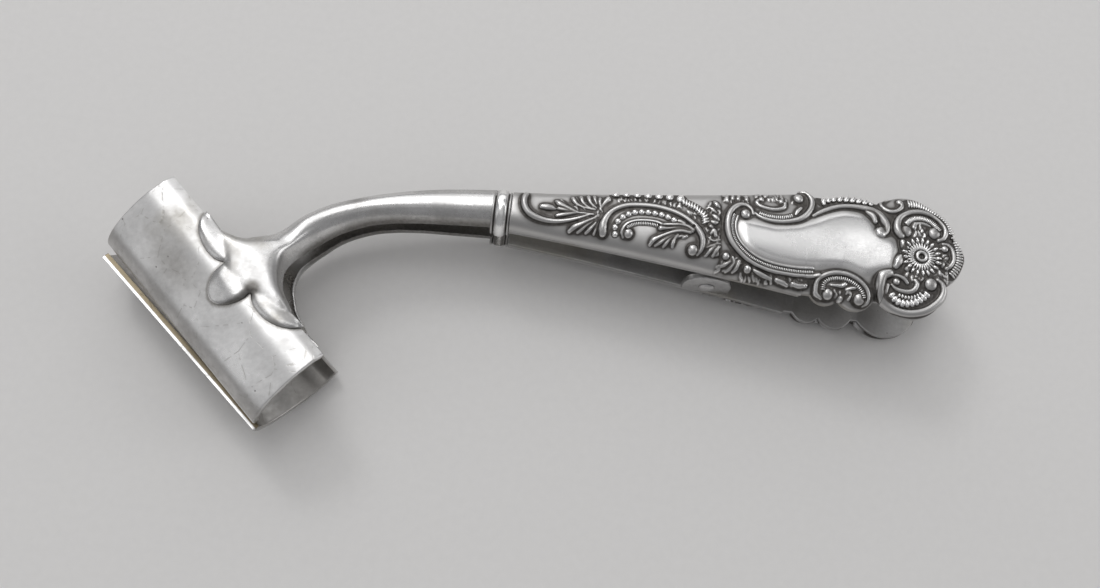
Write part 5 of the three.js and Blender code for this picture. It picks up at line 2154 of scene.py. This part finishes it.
@dataclass(frozen=True)
class Studio:
    """Pale floor, soft lamps and the camera.

    Attributes:
        camera_place: Place of the camera in the handle's frame, in millimetres.
        camera_right: Direction of the picture's right side.
        camera_up: Direction of its top.
        camera_back: Direction from the object to the camera.
        sensor: Width of the sensor in millimetres.
        focal_share: Focal length as a share of the sensor's width.
    """

    camera_place: tuple = (4.64, -53.01, 130.04)
    camera_right: tuple = (0.9922, 0.1087, 0.0615)
    camera_up: tuple = (-0.1225, 0.9434, 0.3083)
    camera_back: tuple = (-0.0245, -0.3135, 0.9493)
    sensor: float = 36.0
    focal_share: float = 1000.0 / 1100.0
    floor_half: float = 1.5
    lamps: tuple = (
        Lamp("overhead", (-0.2, 0.5, 0.85), (0.75, 0.75), 1.6),
        Lamp("crest", (-0.17, 0.37, 0.91), (0.45, 0.4), 0.5),
        Lamp("zenith", (-0.14, 0.08, 0.98), (0.45, 0.2), 0.5),
        Lamp("front", (-0.1, -0.22, 0.95), (1.1, 0.6), 0.36),
        Lamp("fill", (0.5, 0.42, 0.82), (0.6, 0.6), 0.32),
        Lamp("stripe", (0.38, 0.36, 0.82), (0.16, 0.14), 0.13),
        Lamp("back", (-0.15, 0.95, 0.45), (1.3, 0.5), 1.7),
        Lamp("left", (-0.73, -0.21, 0.49), (0.7, 0.7), 0.58),
        Lamp("right", (0.85, 0.1, 0.4), (0.5, 0.5), 1.2),
        Lamp("key", (-0.35, 0.6, 0.65), (0.2, 0.2), 1.1),
    )

    def build(self, bench: Bench) -> None:
        """Sets up the floor, the lamps, the world and the camera.

        Args:
            bench: The bench that knows the row frame.
        """
        bpy.context.scene.view_settings.view_transform = "Standard"
        self.floor()
        for lamp in self.lamps:
            self.light(lamp)
        self.world()
        self.camera(bench)

    def floor(self) -> None:
        """A wide pale floor with a faint grain."""
        made = bpy.data.materials.new("pale_floor")
        made.use_nodes = True
        graph = Graph(made.node_tree)
        place = graph.node("ShaderNodeTexCoord", {}, {}).outputs["Object"]
        grain = graph.noise(place, 900.0, 2.0)
        colour = graph.mixed(grain, (0.71, 0.70, 0.69, 1.0), (0.75, 0.74, 0.73, 1.0))
        shader = graph.node("ShaderNodeBsdfPrincipled", {}, {"Base Color": colour, "Roughness": 0.9})
        graph.node("ShaderNodeOutputMaterial", {}, {"Surface": shader.outputs[0]})
        half = self.floor_half
        mesh = bpy.data.meshes.new("studio_floor")
        corners = [(-half, -half, 0), (half, -half, 0), (half, half, 0), (-half, half, 0)]
        mesh.from_pydata(corners, [], [(0, 1, 2, 3)])
        mesh.materials.append(made)
        thing = shown("studio_floor", mesh)
        thing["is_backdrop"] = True

    def light(self, lamp: Lamp) -> None:
        """Adds a soft box that faces the object.

        Args:
            lamp: Its place, size and strength.
        """
        data = bpy.data.lights.new(lamp.name, "AREA")
        data.shape = "RECTANGLE"
        data.size, data.size_y = lamp.size
        data.energy = lamp.strength
        thing = shown(lamp.name, data)
        thing.location = lamp.place
        thing.rotation_euler = (-Vector(lamp.place)).to_track_quat("-Z", "Y").to_euler()
        thing.visible_camera = False

    def world(self) -> None:
        """A plain grey surrounding."""
        world = bpy.data.worlds.new("studio")
        world.use_nodes = True
        bpy.context.scene.world = world
        graph = Graph(world.node_tree)
        sky = graph.node("ShaderNodeBackground", {}, {"Color": (0.28, 0.28, 0.285, 1.0), "Strength": 1.0})
        graph.node("ShaderNodeOutputWorld", {}, {"Surface": sky.outputs[0]})

    def camera(self, bench: Bench) -> None:
        """Sets the camera at the photograph's angle.

        Args:
            bench: The bench that knows the row frame.
        """
        data = bpy.data.cameras.new("camera")
        data.sensor_width = self.sensor
        data.sensor_fit = "HORIZONTAL"
        data.lens = self.sensor * self.focal_share
        data.clip_start = 0.005
        columns = [Vector(v).normalized() for v in (self.camera_right, self.camera_up, self.camera_back)]
        turn = Matrix(columns).transposed().to_4x4()
        thing = shown("camera", data)
        thing.matrix_world = Matrix.Translation(Vector(bench.place(self.camera_place))) @ turn
        bpy.context.scene.camera = thing


def main() -> None:
    """Builds the studio, both arms and the hinge in order."""
    logging.basicConfig(level=logging.INFO, format="%(name)s: %(message)s")
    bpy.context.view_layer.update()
    bench = Bench.from_frame()
    Studio().build(bench)
    handle = Handle(HandleForm(), ReliefMap())
    studs = StudTree("studs", Finish.STUDS, bench)
    Arm(Side.UPPER, bench, handle).build(studs)
    Arm(Side.LOWER, bench, handle, lip=1.15, turn=2.0).build(studs)
    Hinge(bench, HingeForm(handle.form)).build(studs, frame["nodes"])


if __name__ == "__main__":
    main()
